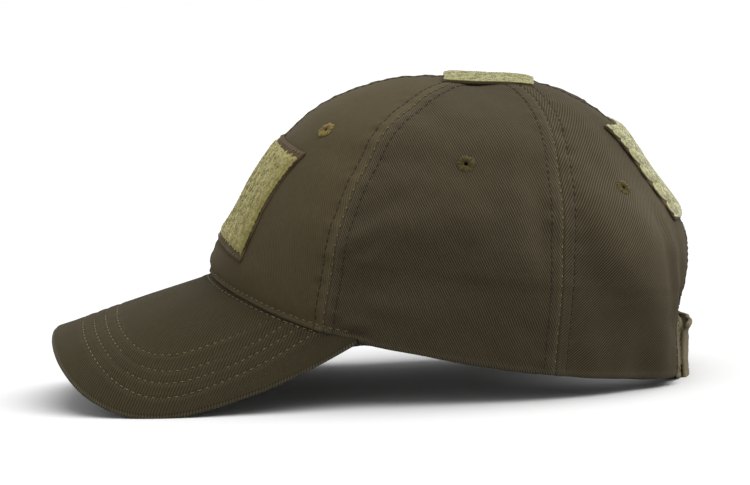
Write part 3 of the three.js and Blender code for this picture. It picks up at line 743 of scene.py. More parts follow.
def tube_quads(tubes, rings, sides):
    """Faces of many closed tubes, with two faces across each end of a six-sided one and one face
    across each end of a four-sided one."""
    ids = np.arange(tubes * rings * sides).reshape(tubes, rings, sides)
    body = cells(np.pad(ids, ((0, 0), (0, 0), (0, 1)), mode="wrap")).reshape(-1, 4)
    caps = [(0, 1, 2, 3)] if sides == 4 else [(0, 1, 2, 3), (0, 3, 4, 5)]
    ends = [face for cap in caps for face in (ids[:, 0][:, cap], ids[:, -1][:, cap[::-1]])]
    return np.concatenate([body[:, ::-1], *ends])


def sew(paths, pitch, length, radius, sink=0.1):
    """Stitches along paths: each is a short thread that rises from the cloth and dips at both ends."""
    runs = []
    rises = []
    share = np.linspace(0, 1, 5)
    for points, normals in paths:
        lengths = walked(points)
        count = int(lengths[-1] / pitch)
        if count < 1:
            continue
        starts = (np.arange(count) + 0.5 - length / pitch / 2) * (lengths[-1] / count)
        at = starts[:, None] + share[None] * length
        spot, rise = (np.stack([np.interp(at, lengths, rows[:, k]) for k in range(3)], axis=-1)
                      for rows in (points, normals))
        rise = unit(rise)
        lift = radius * 1.1 * np.sin(np.pi * share) ** 0.6 - sink
        runs.append(spot + rise * lift[None, :, None])
        rises.append(rise)
    path = np.concatenate(runs)
    taper = np.array([0.55, 0.95, 1.0, 0.95, 0.55])
    points = tube(path, np.concatenate(rises), radius, radius * 0.8, 6, taper)
    # painted shade along each stitch: dark ends as painted shadow at the holes
    tone_and_shade = np.broadcast_to(STITCH_PAINTED_SHADE[None, :, None], points.shape[:3])
    return points.reshape(-1, 3), tube_quads(len(path), 5, 6), tone_and_shade.ravel()


def join(parts):
    """One body of points, faces and tones from several."""
    points, quads, tones, start = [], [], [], 0
    for some, faces, tone_and_shade in parts:
        points.append(some)
        quads.append(faces + start)
        tones.append(tone_and_shade)
        start += len(some)
    return np.concatenate(points), np.concatenate(quads), np.concatenate(tones)


def make_stitches(name, finish, points, quads, tone_and_shade):
    """One piece of many stitches, each with its painted shade along it."""
    make_mesh(name, points, quads, finish, "thread", marks={"tone_and_shade": tone_and_shade})


# Materials


# Colour and share of the paler places: worn ridges and edges, and painted highlight on the crown
WEAR_AND_HIGHLIGHT_COLOUR = np.array([0.3, 0.27, 0.19])
WEAR_AND_HIGHLIGHT_SHARE = 0.35
# Shares by which a wale's top is brighter than the cloth, as painted highlight
WALE_HIGHLIGHT_GAIN = np.array([1.5, 1.53, 1.62])
# Turn of the crossing yarn's sine for each wale
YARN_TURN = 11.4


def colour(value):
    """Linear colour from the sRGB one of a property."""
    value = np.asarray(value[:3], float)
    return tuple(np.where(value <= 0.04045, value / 12.92, ((value + 0.055) / 1.055) ** 2.4)) + (1.0,)


class Tree:
    """Short way to build a node tree."""

    def __init__(self, tree):
        self.tree = tree

    def put(self, socket, value):
        """Link a socket to another one, or set its value."""
        if isinstance(value, bpy.types.NodeSocket):
            self.tree.links.new(value, socket)
        else:
            socket.default_value = value

    def add(self, kind, inputs=None, **settings):
        node = self.tree.nodes.new(kind)
        for key, value in settings.items():
            setattr(node, key, value)
        for key, value in (inputs or {}).items():
            self.put(node.inputs[key], value)
        return node

    def math(self, operation, a, b=0.0, c=0.0, clamp=False):
        return self.add("ShaderNodeMath", {0: a, 1: b, 2: c}, operation=operation, use_clamp=clamp).outputs[0]

    def total(self, first, *others):
        for other in others:
            first = self.math("ADD", first, other)
        return first

    def noise(self, place, scale, detail=3.0, roughness=0.5):
        inputs = {"Vector": place, "Scale": scale, "Detail": detail, "Roughness": roughness}
        return self.add("ShaderNodeTexNoise", inputs).outputs["Fac"]

    def place(self):
        return self.add("ShaderNodeTexCoord").outputs["Object"]

    def mark(self, name):
        return self.add("ShaderNodeAttribute", attribute_name=name).outputs["Fac"]

    def mix(self, factor, a, b):
        node = self.add("ShaderNodeMix", data_type="RGBA")
        for name, kind, value in (("Factor", "VALUE", factor), ("A", "RGBA", a), ("B", "RGBA", b)):
            self.put(next(s for s in node.inputs if s.name == name and s.type == kind and s.enabled), value)
        return next(s for s in node.outputs if s.type == "RGBA" and s.enabled)

    def finish(self, shader, base, height, distance, strength):
        """Give the shader its colour and a bump of some height in metres."""
        self.put(shader.inputs["Base Color"], base)
        bumped = self.add("ShaderNodeBump", {"Height": height, "Distance": distance, "Strength": strength})
        self.put(shader.inputs["Normal"], bumped.outputs[0])


def new_group(name, inputs, outputs):
    """Empty node group with its sockets."""
    group = bpy.data.node_groups.new(name, "ShaderNodeTree")
    for label, kind, default in inputs:
        socket = group.interface.new_socket(label, in_out="INPUT", socket_type=kind)
        if default is not None:
            socket.default_value = default
    for label, kind in outputs:
        group.interface.new_socket(label, in_out="OUTPUT", socket_type=kind)
    tree = Tree(group)
    return group, tree, tree.add("NodeGroupInput").outputs, tree.add("NodeGroupOutput").inputs


def twill_group():
    """Twill: diagonal wales with a short step of the crossing yarn along each."""
    name = "Twill weave"
    if name in bpy.data.node_groups:
        return bpy.data.node_groups[name]
    group, tree, put, out = new_group(
        name,
        [("Vector", "NodeSocketVector", None), ("Pitch", "NodeSocketFloat", 0.01),
         ("Slub", "NodeSocketFloat", 0.2)],
        [("Height", "NodeSocketFloat"), ("Shade", "NodeSocketFloat")],
    )
    cloth = put["Vector"]
    parts = tree.add("ShaderNodeSeparateXYZ", {0: cloth}).outputs
    wander = tree.math("MULTIPLY", tree.noise(cloth, 9.0, 2.0), 0.005)
    across = tree.math("DIVIDE", tree.math("ADD", parts["X"], wander), put["Pitch"])
    along = tree.math("DIVIDE", parts["Y"], put["Pitch"])
    wale = tree.math("SINE", tree.math("MULTIPLY", across, 2 * math.pi))
    ridge = tree.math("MULTIPLY_ADD", wale, 0.5, 0.5)
    yarn = tree.math("ADD", along, tree.math("MULTIPLY", across, 0.5))
    step = tree.math("SINE", tree.math("MULTIPLY", yarn, YARN_TURN))
    knots = tree.math("MULTIPLY", tree.math("MULTIPLY", step, ridge), 0.4)
    fibre = tree.math("SUBTRACT", tree.noise(cloth, 160.0, 3.0, 0.7), 0.5)
    height = tree.total(ridge, knots, tree.math("MULTIPLY", fibre, put["Slub"]))
    tree.put(out["Height"], height)
    drawn = tree.add("ShaderNodeVectorMath", {0: cloth, 1: (60.0, 6.0, 1.0)}, operation="MULTIPLY").outputs[0]
    slub = tree.math("MULTIPLY", tree.noise(drawn, 2.0, 3.0, 0.6), 0.3)
    # the Shade output also drives the painted shade and highlight of the weave in the cloth's colour
    tree.put(out["Shade"], tree.math("ADD", tree.math("MULTIPLY", height, 0.6), slub))
    return group


def mottle_group():
    """Fading of dyed cloth: broad patches with a finer cloud over them."""
    name = "Dye mottle"
    if name in bpy.data.node_groups:
        return bpy.data.node_groups[name]
    group, tree, put, out = new_group(
        name, [("Vector", "NodeSocketVector", None)], [("Value", "NodeSocketFloat")])
    broad = tree.math("MULTIPLY", tree.noise(put["Vector"], 14.0), 0.6)
    fine = tree.math("MULTIPLY", tree.noise(put["Vector"], 420.0, 3.0, 0.65), 0.4)
    tree.put(out["Value"], tree.math("ADD", broad, fine))
    return group


def new_material(name, roughness, sheen=0.0, sheen_tint=(1, 1, 1, 1), sheen_roughness=0.5):
    """Material whose shader has a cloth's roughness and sheen."""
    material = bpy.data.materials.new(name)
    material.use_nodes = True
    shader = material.node_tree.nodes["Principled BSDF"]
    for label, value in (("Roughness", roughness), ("Specular IOR Level", 0.1), ("Sheen Weight", sheen),
                         ("Sheen Tint", sheen_tint), ("Sheen Roughness", sheen_roughness)):
        shader.inputs[label].default_value = value
    return material, Tree(material.node_tree), shader


def scaled(base, factor):
    """A colour made brighter or darker by a factor."""
    return tuple(min(1.0, c * factor) for c in base[:3]) + (1.0,)


def cloth_material(name, base, weave, weave_depth, contrast):
    """Dyed twill: wale bump, slubs and mottled fading, with painted shade in the grooves and painted
    highlight on the wale tops, and paler worn ridges and painted highlight by the wear mark.
    """
    material, tree, shader = new_material(name, 0.95, 0.05, (0.75, 0.65, 0.45, 1), 0.6)
    base = colour(base)
    uv = tree.add("ShaderNodeUVMap", uv_map="cloth").outputs["UV"]
    twill = tree.add("ShaderNodeGroup", node_tree=twill_group())
    tree.put(twill.inputs["Vector"], uv)
    tree.put(twill.inputs["Pitch"], weave / 100)
    mottle = tree.add("ShaderNodeGroup", node_tree=mottle_group())
    tree.put(mottle.inputs["Vector"], tree.place())
    # painted shade and highlight of the weave: the twill's shade darkens the grooves towards the dark end and
    # brightens the wale tops towards the pale end
    shade = tree.math("MULTIPLY", tree.math("SUBTRACT", twill.outputs["Shade"], 0.45), contrast * 2)
    fade = tree.math("MULTIPLY", tree.math("SUBTRACT", mottle.outputs["Value"], 0.5), 0.9)
    level = tree.math("ADD", tree.math("ADD", shade, fade), 0.5, clamp=True)
    wale = tuple(np.array(base[:3]) * WALE_HIGHLIGHT_GAIN) + (1.0,)
    dyed = tree.mix(level, scaled(base, 0.42), wale)
    # the wear mark makes the wale tops paler where the cloth is worn, and also as painted highlight where
    # light falls on the crown
    rubbed_and_lit = tree.math("MULTIPLY", twill.outputs["Shade"], WEAR_AND_HIGHLIGHT_SHARE)
    ridge = tree.math("MULTIPLY", tree.mark("wear_and_highlight"), rubbed_and_lit, clamp=True)
    pale = scaled(tuple(lerp(np.array(base[:3]), WEAR_AND_HIGHLIGHT_COLOUR, 0.3)), 1.25)
    tree.finish(shader, tree.mix(ridge, dyed, pale), twill.outputs["Height"], weave_depth * MM, 0.8)
    return material


def thread_material(name, base):
    """Sewing thread: a tight ply along the stitch and a little shine, darkened by its mark as painted shade,
    and on the eyelets also by a random tone of their threads.
    """
    material, tree, shader = new_material(name, 0.7, 0.2, (0.9, 0.86, 0.7, 1), 0.4)
    base = colour(base)
    speck = tree.noise(tree.place(), 900.0, 2.0)
    spun = tree.mix(tree.math("MULTIPLY_ADD", speck, 1.4, -0.2), scaled(base, 0.6), scaled(base, 1.4))
    tree.finish(shader, tree.mix(tree.mark("tone_and_shade"), spun, scaled(base, 0.28)), speck, 0.0002, 0.6)
    return material


def pile_material(name, base, deep, bloom, sheen):
    """Brushed pile: a fine clumpy noise mixes a pale and a darker tone, and the depth mark darkens the lower
    places as painted shade.
    """
    material, tree, shader = new_material(name, 0.95, sheen, bloom, 0.5)
    place = tree.place()
    clump = tree.noise(place, 900.0, 3.0, 0.6)
    fibre = tree.math("MULTIPLY", tree.noise(place, 1500.0, 2.0), 0.6)
    # painted shade: lower places of the pile are darkened by their depth
    depth = tree.math("MULTIPLY", tree.mark("depth"), 0.9)
    level = tree.math("SUBTRACT", tree.total(clump, fibre, depth), 0.25, clamp=True)
    tree.finish(shader, tree.mix(level, colour(deep), colour(base)), clump, 0.00025, 0.6)
    return material


def materials():
    """The finishes of every piece, made once."""
    looks = bpy.context.scene.cap_looks
    if "crown twill" in bpy.data.materials:
        return {m.name: m for m in bpy.data.materials}
    made = [
        # the last number of each twill is the strength of its weave's painted shade and highlight
        cloth_material("stiffened twill", looks.stiffened, looks.weave, looks.weave_depth * 0.4, 0.35),
        cloth_material("crown twill", looks.crown, looks.weave, looks.weave_depth, 1.5),
        cloth_material("peak twill", looks.peak, looks.weave, looks.weave_depth, 0.8),
        cloth_material("lining twill", looks.lining, looks.weave, looks.weave_depth, 0.5),
        cloth_material("patch selvedge", looks.selvedge, 0.8, 0.1, 0.5),
        cloth_material("strap tape", looks.strap, 0.7, 0.1, 0.4),
        thread_material("olive thread", looks.thread),
        thread_material("cloth thread", looks.cloth_thread),
        thread_material("eyelet thread", looks.eyelet),
        pile_material("front pile", looks.front_pile, looks.front_root, (1, 0.95, 0.6, 1), 0.4),
        pile_material("top pile", looks.top_pile, looks.top_root, (1, 0.97, 0.75, 1), 0.5),
        pile_material("rear pile", looks.rear_pile, looks.rear_root, (1, 0.98, 0.85, 1), 0.6),
    ]
    return {m.name: m for m in made}


# Crown panels


PANELS = {
    # seams on both sides, turn of the wales in degrees
    "front": (front_middle, front_seam, 24.0),
    "side": (front_seam, rear_seam, 32.0),
    "rear": (rear_seam, rear_middle, -42.0),
}


def panel_grid(kind, sign, columns=96, rows=150):
    """Directions and climbs of a panel: its columns crowd near its seams and its rows near the hem."""
    near, far, _ = PANELS[kind]
    climb = np.interp(np.linspace(0, 1, rows), [0, 0.05, 1], [0, 0.02, PANEL_TOP])[:, None]
    share = graded(columns, 0.11, 0.36)[None]
    start, stop = (near(climb), far(climb)) if sign > 0 else (-far(climb), -near(climb))
    return lerp(start, stop, share), np.broadcast_to(climb, (rows, columns))


def eyelet_frame(kind, sign):
    """Place, normal and two tangents of an eyelet."""
    angle, climb = EYELETS[kind]
    point, normal = cloth(np.array([angle * sign]), np.array([climb]))
    up = unit(np.cross(normal, np.array([[0.0, -1.0, 0.0]])))
    return point[0], normal[0], up[0], np.cross(up[0], normal[0])


def in_arch(points, outwards):
    """Whether points lie inside the rear arch, enlarged by a length."""
    reach = (ARCH_HALF_WIDTH + outwards, ARCH_HEIGHT + outwards)
    return oval(points[..., 0], points[..., 2], *reach, ARCH_FULLNESS) > 1


def make_panel(kind, sign):
    """Panel: the crown with its relief outside, a wall's thickness inside, and its holes cut out."""
    side = "left" if sign > 0 else "right"
    angle, climb = panel_grid(kind, sign)
    # the second share holds the crown's worn ridges and edges and its painted highlight
    relief, worn = cloth_relief(angle, climb)
    base = crown(angle, climb)
    normals = normal_of(crown, angle, climb)
    outer = base + normals * relief[..., None]
    inner = base - normals * np.maximum(CROWN_WALL - 0.35 * relief, 0.7 - relief)[..., None]
    on_peak = np.abs(angle) <= CORNER_ANGLE
    for face in (outer, inner):
        floor = peak_height(face[..., 0], face[..., 1]) + SEAM_GAP / 2
        face[..., 2] = np.where(on_peak, np.maximum(face[..., 2], floor), face[..., 2])
    middle = (outer[:-1, :-1] + outer[1:, 1:]) / 2
    spot, _, _, _ = eyelet_frame(kind, sign)
    hole = np.linalg.norm(middle - spot, axis=-1) < EYELET_HOLE
    if kind == "rear":
        hole |= in_arch(middle, ARCH_CUT)
    finish = "stiffened twill" if kind == "front" else "crown twill"
    piece = add_sheet(
        f"{kind}_panel_cloth_{side}", outer, inner, PANELS[kind][2] * sign, hole,
        marks={"wear_and_highlight": worn}, finish=finish, slot="crown_cloth", nodes=[f"{kind}_panel_{side}"])


def make_eyelet(kind, sign):
    """Embroidered ring: a closed section turned round the hole, ridged by its radial threads."""
    side = "left" if sign > 0 else "right"
    spot, normal, up, across = eyelet_frame(kind, sign)
    columns, rings = 144, 18
    turn = circle(columns)[:, None]
    section = circle(rings)[None]
    seed = 80 + len(kind)
    around = turn * 4.2
    ridge = 0.09 * np.cos(turn * EYELET_RIDGES) + 0.07 * ripple(turn * 9, 1.6, seed)
    ragged = 0.2 * ripple(around, 4.0, seed + 1) + 0.22 * ripple(around, 0.9, seed + 2)
    out, rise = np.cos(section), np.sin(section)
    outside = 0.5 + 0.5 * out
    radius = EYELET_RADIUS + 1.5 * out + ragged * outside**2
    top = 0.6 + ridge
    height = np.where(rise > 0, rise * top, rise * (CROWN_WALL + 0.4))
    radius = np.where(rise < -0.3, EYELET_RADIUS + 1.2 * out, radius) * EYELET_SIZES[kind]
    # painted shade by the eyelet's place, a random tone along its threads, and painted shade towards the
    # hole's edge
    tone_and_shade = EYELET_PAINTED_SHADE[kind] + 0.175 * np.cos(turn * EYELET_RIDGES + 1) + 0.2 * ripple(around, 2.0, seed + 3)
    tone_and_shade = np.clip(tone_and_shade + 0.3 * (1 - outside) ** 2, 0, 1)
    plane = across * (radius * np.cos(turn))[..., None] + up * (radius * np.sin(turn))[..., None]
    droop = (radius**2 / (2 * 95))[..., None]
    points = spot + plane + normal * (height[..., None] + 0.12 - droop)
    ids = np.arange(columns * rings).reshape(columns, rings)
    faces = cells(np.pad(ids, ((0, 1), (0, 1)), mode="wrap")).reshape(-1, 4)
    make_mesh(f"eyelet_{kind}_thread_{side}", points.reshape(-1, 3), faces, "eyelet thread", "thread",
              [f"eyelet_{kind}_{side}"], marks={"tone_and_shade": tone_and_shade.ravel()})


# Peak


def peak_rim(share, inset=0.0):
    """Outer edge: half an oval in front of its widest place, then straight back to the corner."""
    side = np.abs(share)
    sign = np.where(share < 0, -1, 1)
    turn = (math.pi / 2) * np.minimum(side / PEAK_FRONT_SHARE, 1)
    reach = oval(np.sin(turn), np.cos(turn), WIDEST - inset, PEAK_LENGTH - inset, PEAK_FULLNESS)
    back = np.clip((side - PEAK_FRONT_SHARE) / (1 - PEAK_FRONT_SHARE), 0, 1)
    front = side < PEAK_FRONT_SHARE
    across = np.where(front, reach * np.sin(turn), WIDEST - inset - PEAK_FLARE * back**2)
    return sign * across, np.where(front, reach * np.cos(turn), CORNER_FORWARD * back)


def peak_row(number, count=400):
    """Stitch row: half an oval in front of its widest place, drawn in behind it by a square law."""
    wide, widest_at, tip, fullness, draw = PEAK_ROWS[number]
    turn = np.linspace(0, math.pi / 2, count)
    reach = oval(np.sin(turn), np.cos(turn), wide, PEAK_LENGTH - tip - widest_at, fullness)
    front = np.stack([reach * np.sin(turn), widest_at + reach * np.cos(turn)], axis=-1)
    back = np.linspace(0, 1, count // 2)[1:]
    depth = (widest_at - CORNER_FORWARD) * back
    rear = np.stack([wide - draw * depth**2, widest_at - depth], axis=-1)
    half = np.concatenate([front, rear])
    seam_across, seam_forward = peak_seam(np.linspace(0, 1, 200))
    half = half[half[:, 1] > np.interp(half[:, 0], seam_across, seam_forward) + 1.5]
    return np.concatenate([half[::-1] * [-1, 1], half[1:]])


def nearest(places, line):
    """Distance from each place to a line of points."""
    best = np.full(len(places), 1e9, np.float32)
    line = line.astype(np.float32)
    for some in np.array_split(line, 12):
        apart = ((places[:, None, :].astype(np.float32) - some[None]) ** 2).sum(-1).min(1)
        best = np.minimum(best, apart)
    return np.sqrt(best)


def peak_seam_row(count=400):
    """Stitch row on the peak just in front of the crown."""
    across, forward = peak_seam(np.linspace(-PEAK_SEAM_SHARE, PEAK_SEAM_SHARE, count))
    return np.stack([across, forward + PEAK_SEAM_ROW], axis=-1)


def peak_grid(inset, columns, rows):
    """Across and forward of the peak between its seam and its rim."""
    share = np.linspace(-1, 1, columns)[None]
    outwards = 1 - (1 - np.linspace(0, 1, rows)[:, None]) ** 1.15
    inner = peak_seam(-share)
    rim = peak_rim(-share, inset)
    return lerp(inner[0], rim[0], outwards), lerp(inner[1], rim[1], outwards)


def peak_relief(across, forward, seed):
    """Relief of the peak: sunk stitch rows with soft ribs between them, small puckers and waves."""
    places = np.stack([across, forward], axis=-1).reshape(-1, 2)
    relief = np.zeros(len(places))
    worn = np.zeros(len(places))
    for number in range(len(PEAK_ROWS)):
        apart = nearest(places, peak_row(number, 260))
        pucker = waves(places, 5.5, seed + number)
        relief += -0.22 * bump(apart, 0.7) + 0.06 * bump(apart - 2.2, 1.4) + 0.06 * pucker * bump(apart, 2.4)
        worn += 0.2 * bump(apart - 1.4, 0.8)
    seam = nearest(places, peak_seam_row(260))
    relief += -0.4 * bump(seam, 0.9) + 0.25 * bump(seam - 1.8, 1.0)
    relief += 0.1 * waves(places, 30, seed + 9)
    return relief.reshape(across.shape), worn.reshape(across.shape)


def peak_frame(across, forward):
    """Place and outward normal of the peak's bare top face."""
    step = 0.05
    u = peak_point(across + step, forward) - peak_point(across - step, forward)
    w = peak_point(across, forward + step) - peak_point(across, forward - step)
    return peak_point(across, forward), unit(np.cross(w, u))


def make_peak():
    """The peak's cover over its board, and the under cloth that is set in from its rim."""
    across, forward = peak_grid(0, 230, 120)
    base, normals = peak_frame(across, forward)
    relief, worn = peak_relief(across, forward, 300)
    share = np.linspace(0, 1, base.shape[0])[:, None]
    rim = smooth(share, 0.975, 1.0)
    worn = worn + 1.2 * rim
    outer = base + normals * (PEAK_PADDING + relief - 0.5 * rim)[..., None]
    inner = base - normals * PEAK_BOARD
    upper = add_sheet("peak_twill_cover", outer, inner, 45.0, rounds=3, marks={"wear_and_highlight": worn},
                      finish="peak twill", slot="peak_cloth", nodes=["peak_upper"])
    across, forward = peak_grid(LINING_INSET, 180, 70)
    base, normals = peak_frame(across, forward)
    relief, worn = peak_relief(across, forward, 340)
    drop = PEAK_BOARD + 0.1
    outer = base - normals * drop
    inner = base - normals * (drop + PEAK_LINING - 0.8 * relief[..., None])
    lower = add_sheet("peak_lining", outer, inner, 45.0, marks={"wear_and_highlight": worn},
                      finish="lining twill", slot="lining_cloth", nodes=["peak_under"])


def peak_paths(under):
    """Points and normals of the stitch rows, on the top or the underside."""
    paths = []
    for number in range(len(PEAK_ROWS)):
        point, normal = peak_frame(*peak_row(number).T)
        if under:
            point = point - normal * (PEAK_BOARD + PEAK_LINING + 0.3)
            normal = -normal
        else:
            point = point + normal * (PEAK_PADDING - 0.3)
        paths.append((point, normal))
    return paths


# Loop patches


def wall_patch(patch, rear):
    """Directions and climbs of a patch on the front or rear crown."""
    angle = 180 if rear else 0
    hem = climb_after(angle, 0, patch["above"])
    top = climb_after(angle, hem, patch["height"])

    def place(u, w):
        dip = (patch["dip"] / patch["height"]) * (u / patch["half"]) ** 2
        climb = lerp(hem, top, w / patch["height"] - dip)
        return angle_at_x(-u if rear else u, climb, rear), climb
    return place


def top_patch(u, w):
    """Directions and climbs of the patch on the crown's top, which runs back from its front edge."""
    return crown_over(u, TOP_PATCH_FRONT + w)


def patch_surface(place, u, w):
    """Smoothed crown under a patch, and its normal."""
    step = 0.6

    def spot(a, b):
        angle, climb = place(a, b)
        return crown(angle, climb)
    normal = unit(np.cross(spot(u + step, w) - spot(u - step, w), spot(u, w + step) - spot(u, w - step)))
    return spot(u, w) + normal * fold_relief(*place(u, w))[..., None], normal


def notched(w, notches):
    """Depth of the notches at a place along the pile's end: round lobes that meet in a cusp at each."""
    depth = np.zeros_like(w)
    for at, deep in notches:
        inside = 1 - np.clip(np.abs(w - at) / NOTCH_WIDTH, 0, 1)
        depth = np.maximum(depth, deep * (1 - np.sqrt(1 - inside**2)))
    return depth


def from_margin(patch, w):
    """Distance from a place up the patch to the nearer of its two margins."""
    return np.minimum(w - patch["margin"], patch["height"] - patch["margin"] - w)


def puffed(patch, reach, u, w):
    """Thickness of the pile, which rounds off towards its ends and margins."""
    side = np.minimum(reach - np.abs(u), from_margin(patch, w))
    return patch["pile"] * (1 - 0.7 * (1 - smooth(side, 0, patch["round"])) ** 2)


def make_patch(name, patch, place, finish, notches, rests_on):
    """Woven backing with stitched margins, the raised pile on it, and its brushed fibres."""
    height = patch["height"]
    u, w = np.meshgrid(np.linspace(-1, 1, 120), np.linspace(0, height, 70))
    half = patch["half"] - patch["taper"] * w / height
    u = u * half
    base, normal = patch_surface(place, u, w)
    wave = 0.12 * waves(np.stack([u, w], -1), 12, 61)
    edge = np.minimum(half - np.abs(u), np.minimum(w, height - w))
    outer = base + normal * (PATCH_SEAT + BACKING + wave - 0.35 * bump(edge, 0.8))[..., None]
    inner = base + normal * (PATCH_SEAT - 0.6 + 0 * wave)[..., None]
    backing = add_sheet(f"{name}_selvedge", outer, inner, marks={"wear_and_highlight": 0.5 * bump(edge - 0.6, 0.5)},
                        finish="patch selvedge", slot="loop_backing", nodes=[f"{name}_backing"])

    looks = bpy.context.scene.cap_pile
    rows, columns = 120, 200
    w = np.linspace(patch["margin"], height - patch["margin"], rows)[:, None]
    notch = notched(w, notches)
    reach = patch["half"] - patch["taper"] * w / height - patch["end"] - notch + 0.12 * ripple(w, 2.4, 66)
    u = np.linspace(-1, 1, columns)[None] * reach
    w = np.broadcast_to(w, u.shape) + 0 * u
    flat = np.stack([u, w], axis=-1)
    w = w + 0.3 * waves(flat, 2.6, 67) * bump(from_margin(patch, w), 1.5)
    base, normal = patch_surface(place, u, w)
    clump = 0.05 * waves(flat, 2.3, 62) + 0.04 * waves(flat, 1.3, 63) + 0.1 * waves(flat, 5, 64)
    grain = 0.03 * np.random.default_rng(65).normal(size=u.shape)
    channel = 0.34 * notch * smooth(np.abs(u), 0.7 * patch["half"], patch["half"])
    thick = puffed(patch, reach, u, w) * looks.height - channel
    thick = np.maximum(thick + clump + grain, PILE_LEAST)
    outer = base + normal * (PATCH_SEAT + BACKING + thick)[..., None]
    inner = base + normal * (PATCH_SEAT + BACKING - 0.2 + 0 * u)[..., None]
    # the depth mark paints shade into the mat's lower places
    pile = add_sheet(f"{name}_pile_mat", outer, inner, push=0.35, marks={"depth": clump + grain},
                     finish=finish, slot="loop_pile", nodes=[f"{name}_pile"])
    fibres = make_fibres(f"{name}_pile_fibres", place, patch, reach, looks, finish)


def make_fibres(name, place, patch, reach, looks, finish):
    """Brushed fibres of the pile: thin threads that stand up, each bent its own way."""
    rng = np.random.default_rng(71 + len(name))
    inner_height = patch["height"] - 2 * patch["margin"]
    count = int(2 * patch["half"] * inner_height * looks.fibres * patch["fibres"])
    w = patch["margin"] + rng.uniform(0, 1, count) * inner_height
    row = (w - patch["margin"]) / inner_height * (reach.shape[0] - 1)
    ends = np.interp(row, np.arange(reach.shape[0]), reach[:, 0])
    u = rng.uniform(-1, 1, count) * ends
    base, normal = patch_surface(place, u, w)
    thick = np.maximum(puffed(patch, ends, u, w) * looks.height, PILE_LEAST)
    root = base + normal * (PATCH_SEAT + BACKING + thick - 0.3)[:, None]
    across = unit(np.cross(normal, np.array([0.0, 0.3, 1.0])))
    up = np.cross(normal, across)
    lean = rng.normal(0, FIBRE_LEAN, (count, 2))
    tilt = across * lean[:, :1] + up * lean[:, 1:]
    long = rng.uniform(0.55, 1.0, count)[:, None, None]
    t = np.array([0, 0.5, 1.0])[None, :, None]
    path = root[:, None] + (normal[:, None] * (t - 0.25 * t**2) + tilt[:, None] * t**1.5) * long
    normals = np.repeat(unit(across + up * 0.3)[:, None], 3, 1)
    points = tube(path, normals, FIBRE_RADIUS, FIBRE_RADIUS, 4, np.array([1.0, 0.9, 0.45]))
    # painted shade towards each fibre's root
    depth = np.broadcast_to(t * 0.5 - 0.1, points.shape[:3])
    return make_mesh(name, points.reshape(-1, 3), tube_quads(count, 3, 4), finish, "loop_pile",
                     marks={"depth": depth.reshape(-1)})


def patch_list():
    """Every patch: its name, sizes, place on the crown, finish, notches and the cloth it rests on."""
    return [
        ("front_loop", FRONT_PATCH, wall_patch(FRONT_PATCH, False), "front pile", (),
         ["front_panel_cloth_left", "front_panel_cloth_right"]),
        ("rear_loop", REAR_PATCH, wall_patch(REAR_PATCH, True), "rear pile", REAR_NOTCHES,
         ["rear_panel_cloth_left", "rear_panel_cloth_right"]),
        ("top_loop", TOP_PATCH, top_patch, "top pile", (),
         ["front_panel_cloth_left", "rear_panel_cloth_right"]),
    ]


def patch_paths(patch, place):
    """Stitch rows along the two long margins of a patch."""
    half, height = patch["half"], patch["height"]
    inset = 0.15 * patch["margin"] + 0.35
    steps = 160
    level = np.linspace(-half + 1.2, half - 1.2, steps)
    paths = []
    for w in (inset, height - inset):
        base, normal = patch_surface(place, level, np.full(steps, float(w)))
        paths.append((base + normal * (PATCH_SEAT + BACKING), normal))
    return paths


# Rear opening


def arch(share, outwards):
    """Half an oval on the hem, moved outwards along its radius."""
    turn = math.pi * share
    reach = oval(np.cos(turn), np.sin(turn), ARCH_HALF_WIDTH, ARCH_HEIGHT, ARCH_FULLNESS) + outwards
    return reach * np.cos(turn), reach * np.sin(turn)


def make_binding():
    """Turned and overlocked edge: a flat oval section carried round the arch, ridged by its thread."""
    steps, sides = 300, 20
    share = np.linspace(0.008, 0.992, steps)[:, None]
    turn = circle(sides)[None]
    flat, rise = (np.sign(wave) * np.abs(wave) ** 0.7 for wave in (np.cos(turn), np.sin(turn)))
    out = BINDING_WIDTH / 2 + 0.1 + (BINDING_WIDTH / 2 + 0.4) * flat
    x, z = arch(share, out)
    angle, climb = rear_place(x, np.maximum(z, 0.05))
    base = crown(angle, climb)
    normal = normal_of(crown, angle, climb)
    length = np.linspace(0, 150, steps)[:, None]
    ridge = 0.07 * np.sin(2 * np.pi * length / 1.3) + 0.12 * ripple(length, 9, 91)
    thick = CROWN_WALL / 2 + 0.42 + ridge
    points = base + normal * (-CROWN_WALL / 2 + rise * thick + 0.05 * ripple(length, 3, 92))[..., None]
    ids = np.arange(steps * sides).reshape(steps, sides)
    quads = cells(np.pad(ids, ((0, 0), (0, 1)), mode="wrap")).reshape(-1, 4)
    ends = []
    for start in (0, (steps - 1) * sides):
        for k in range(1, sides // 2):
            cap = [start + k - 1, start + k, start + sides - 1 - k, start + (sides - k) % sides]
            ends.append(cap if start == 0 else cap[::-1])
    uv = np.stack(np.broadcast_arrays(turn * 0.02, length / 100), -1).reshape(-1, 2)
    flat_points = points.reshape(-1, 3)
    make_mesh("rear_opening_overlock", flat_points, np.concatenate([quads, np.array(ends)]), "crown twill",
              "crown_cloth", ["rear_opening_binding"], uv, {"wear_and_highlight": np.full(len(flat_points), 0.5)})


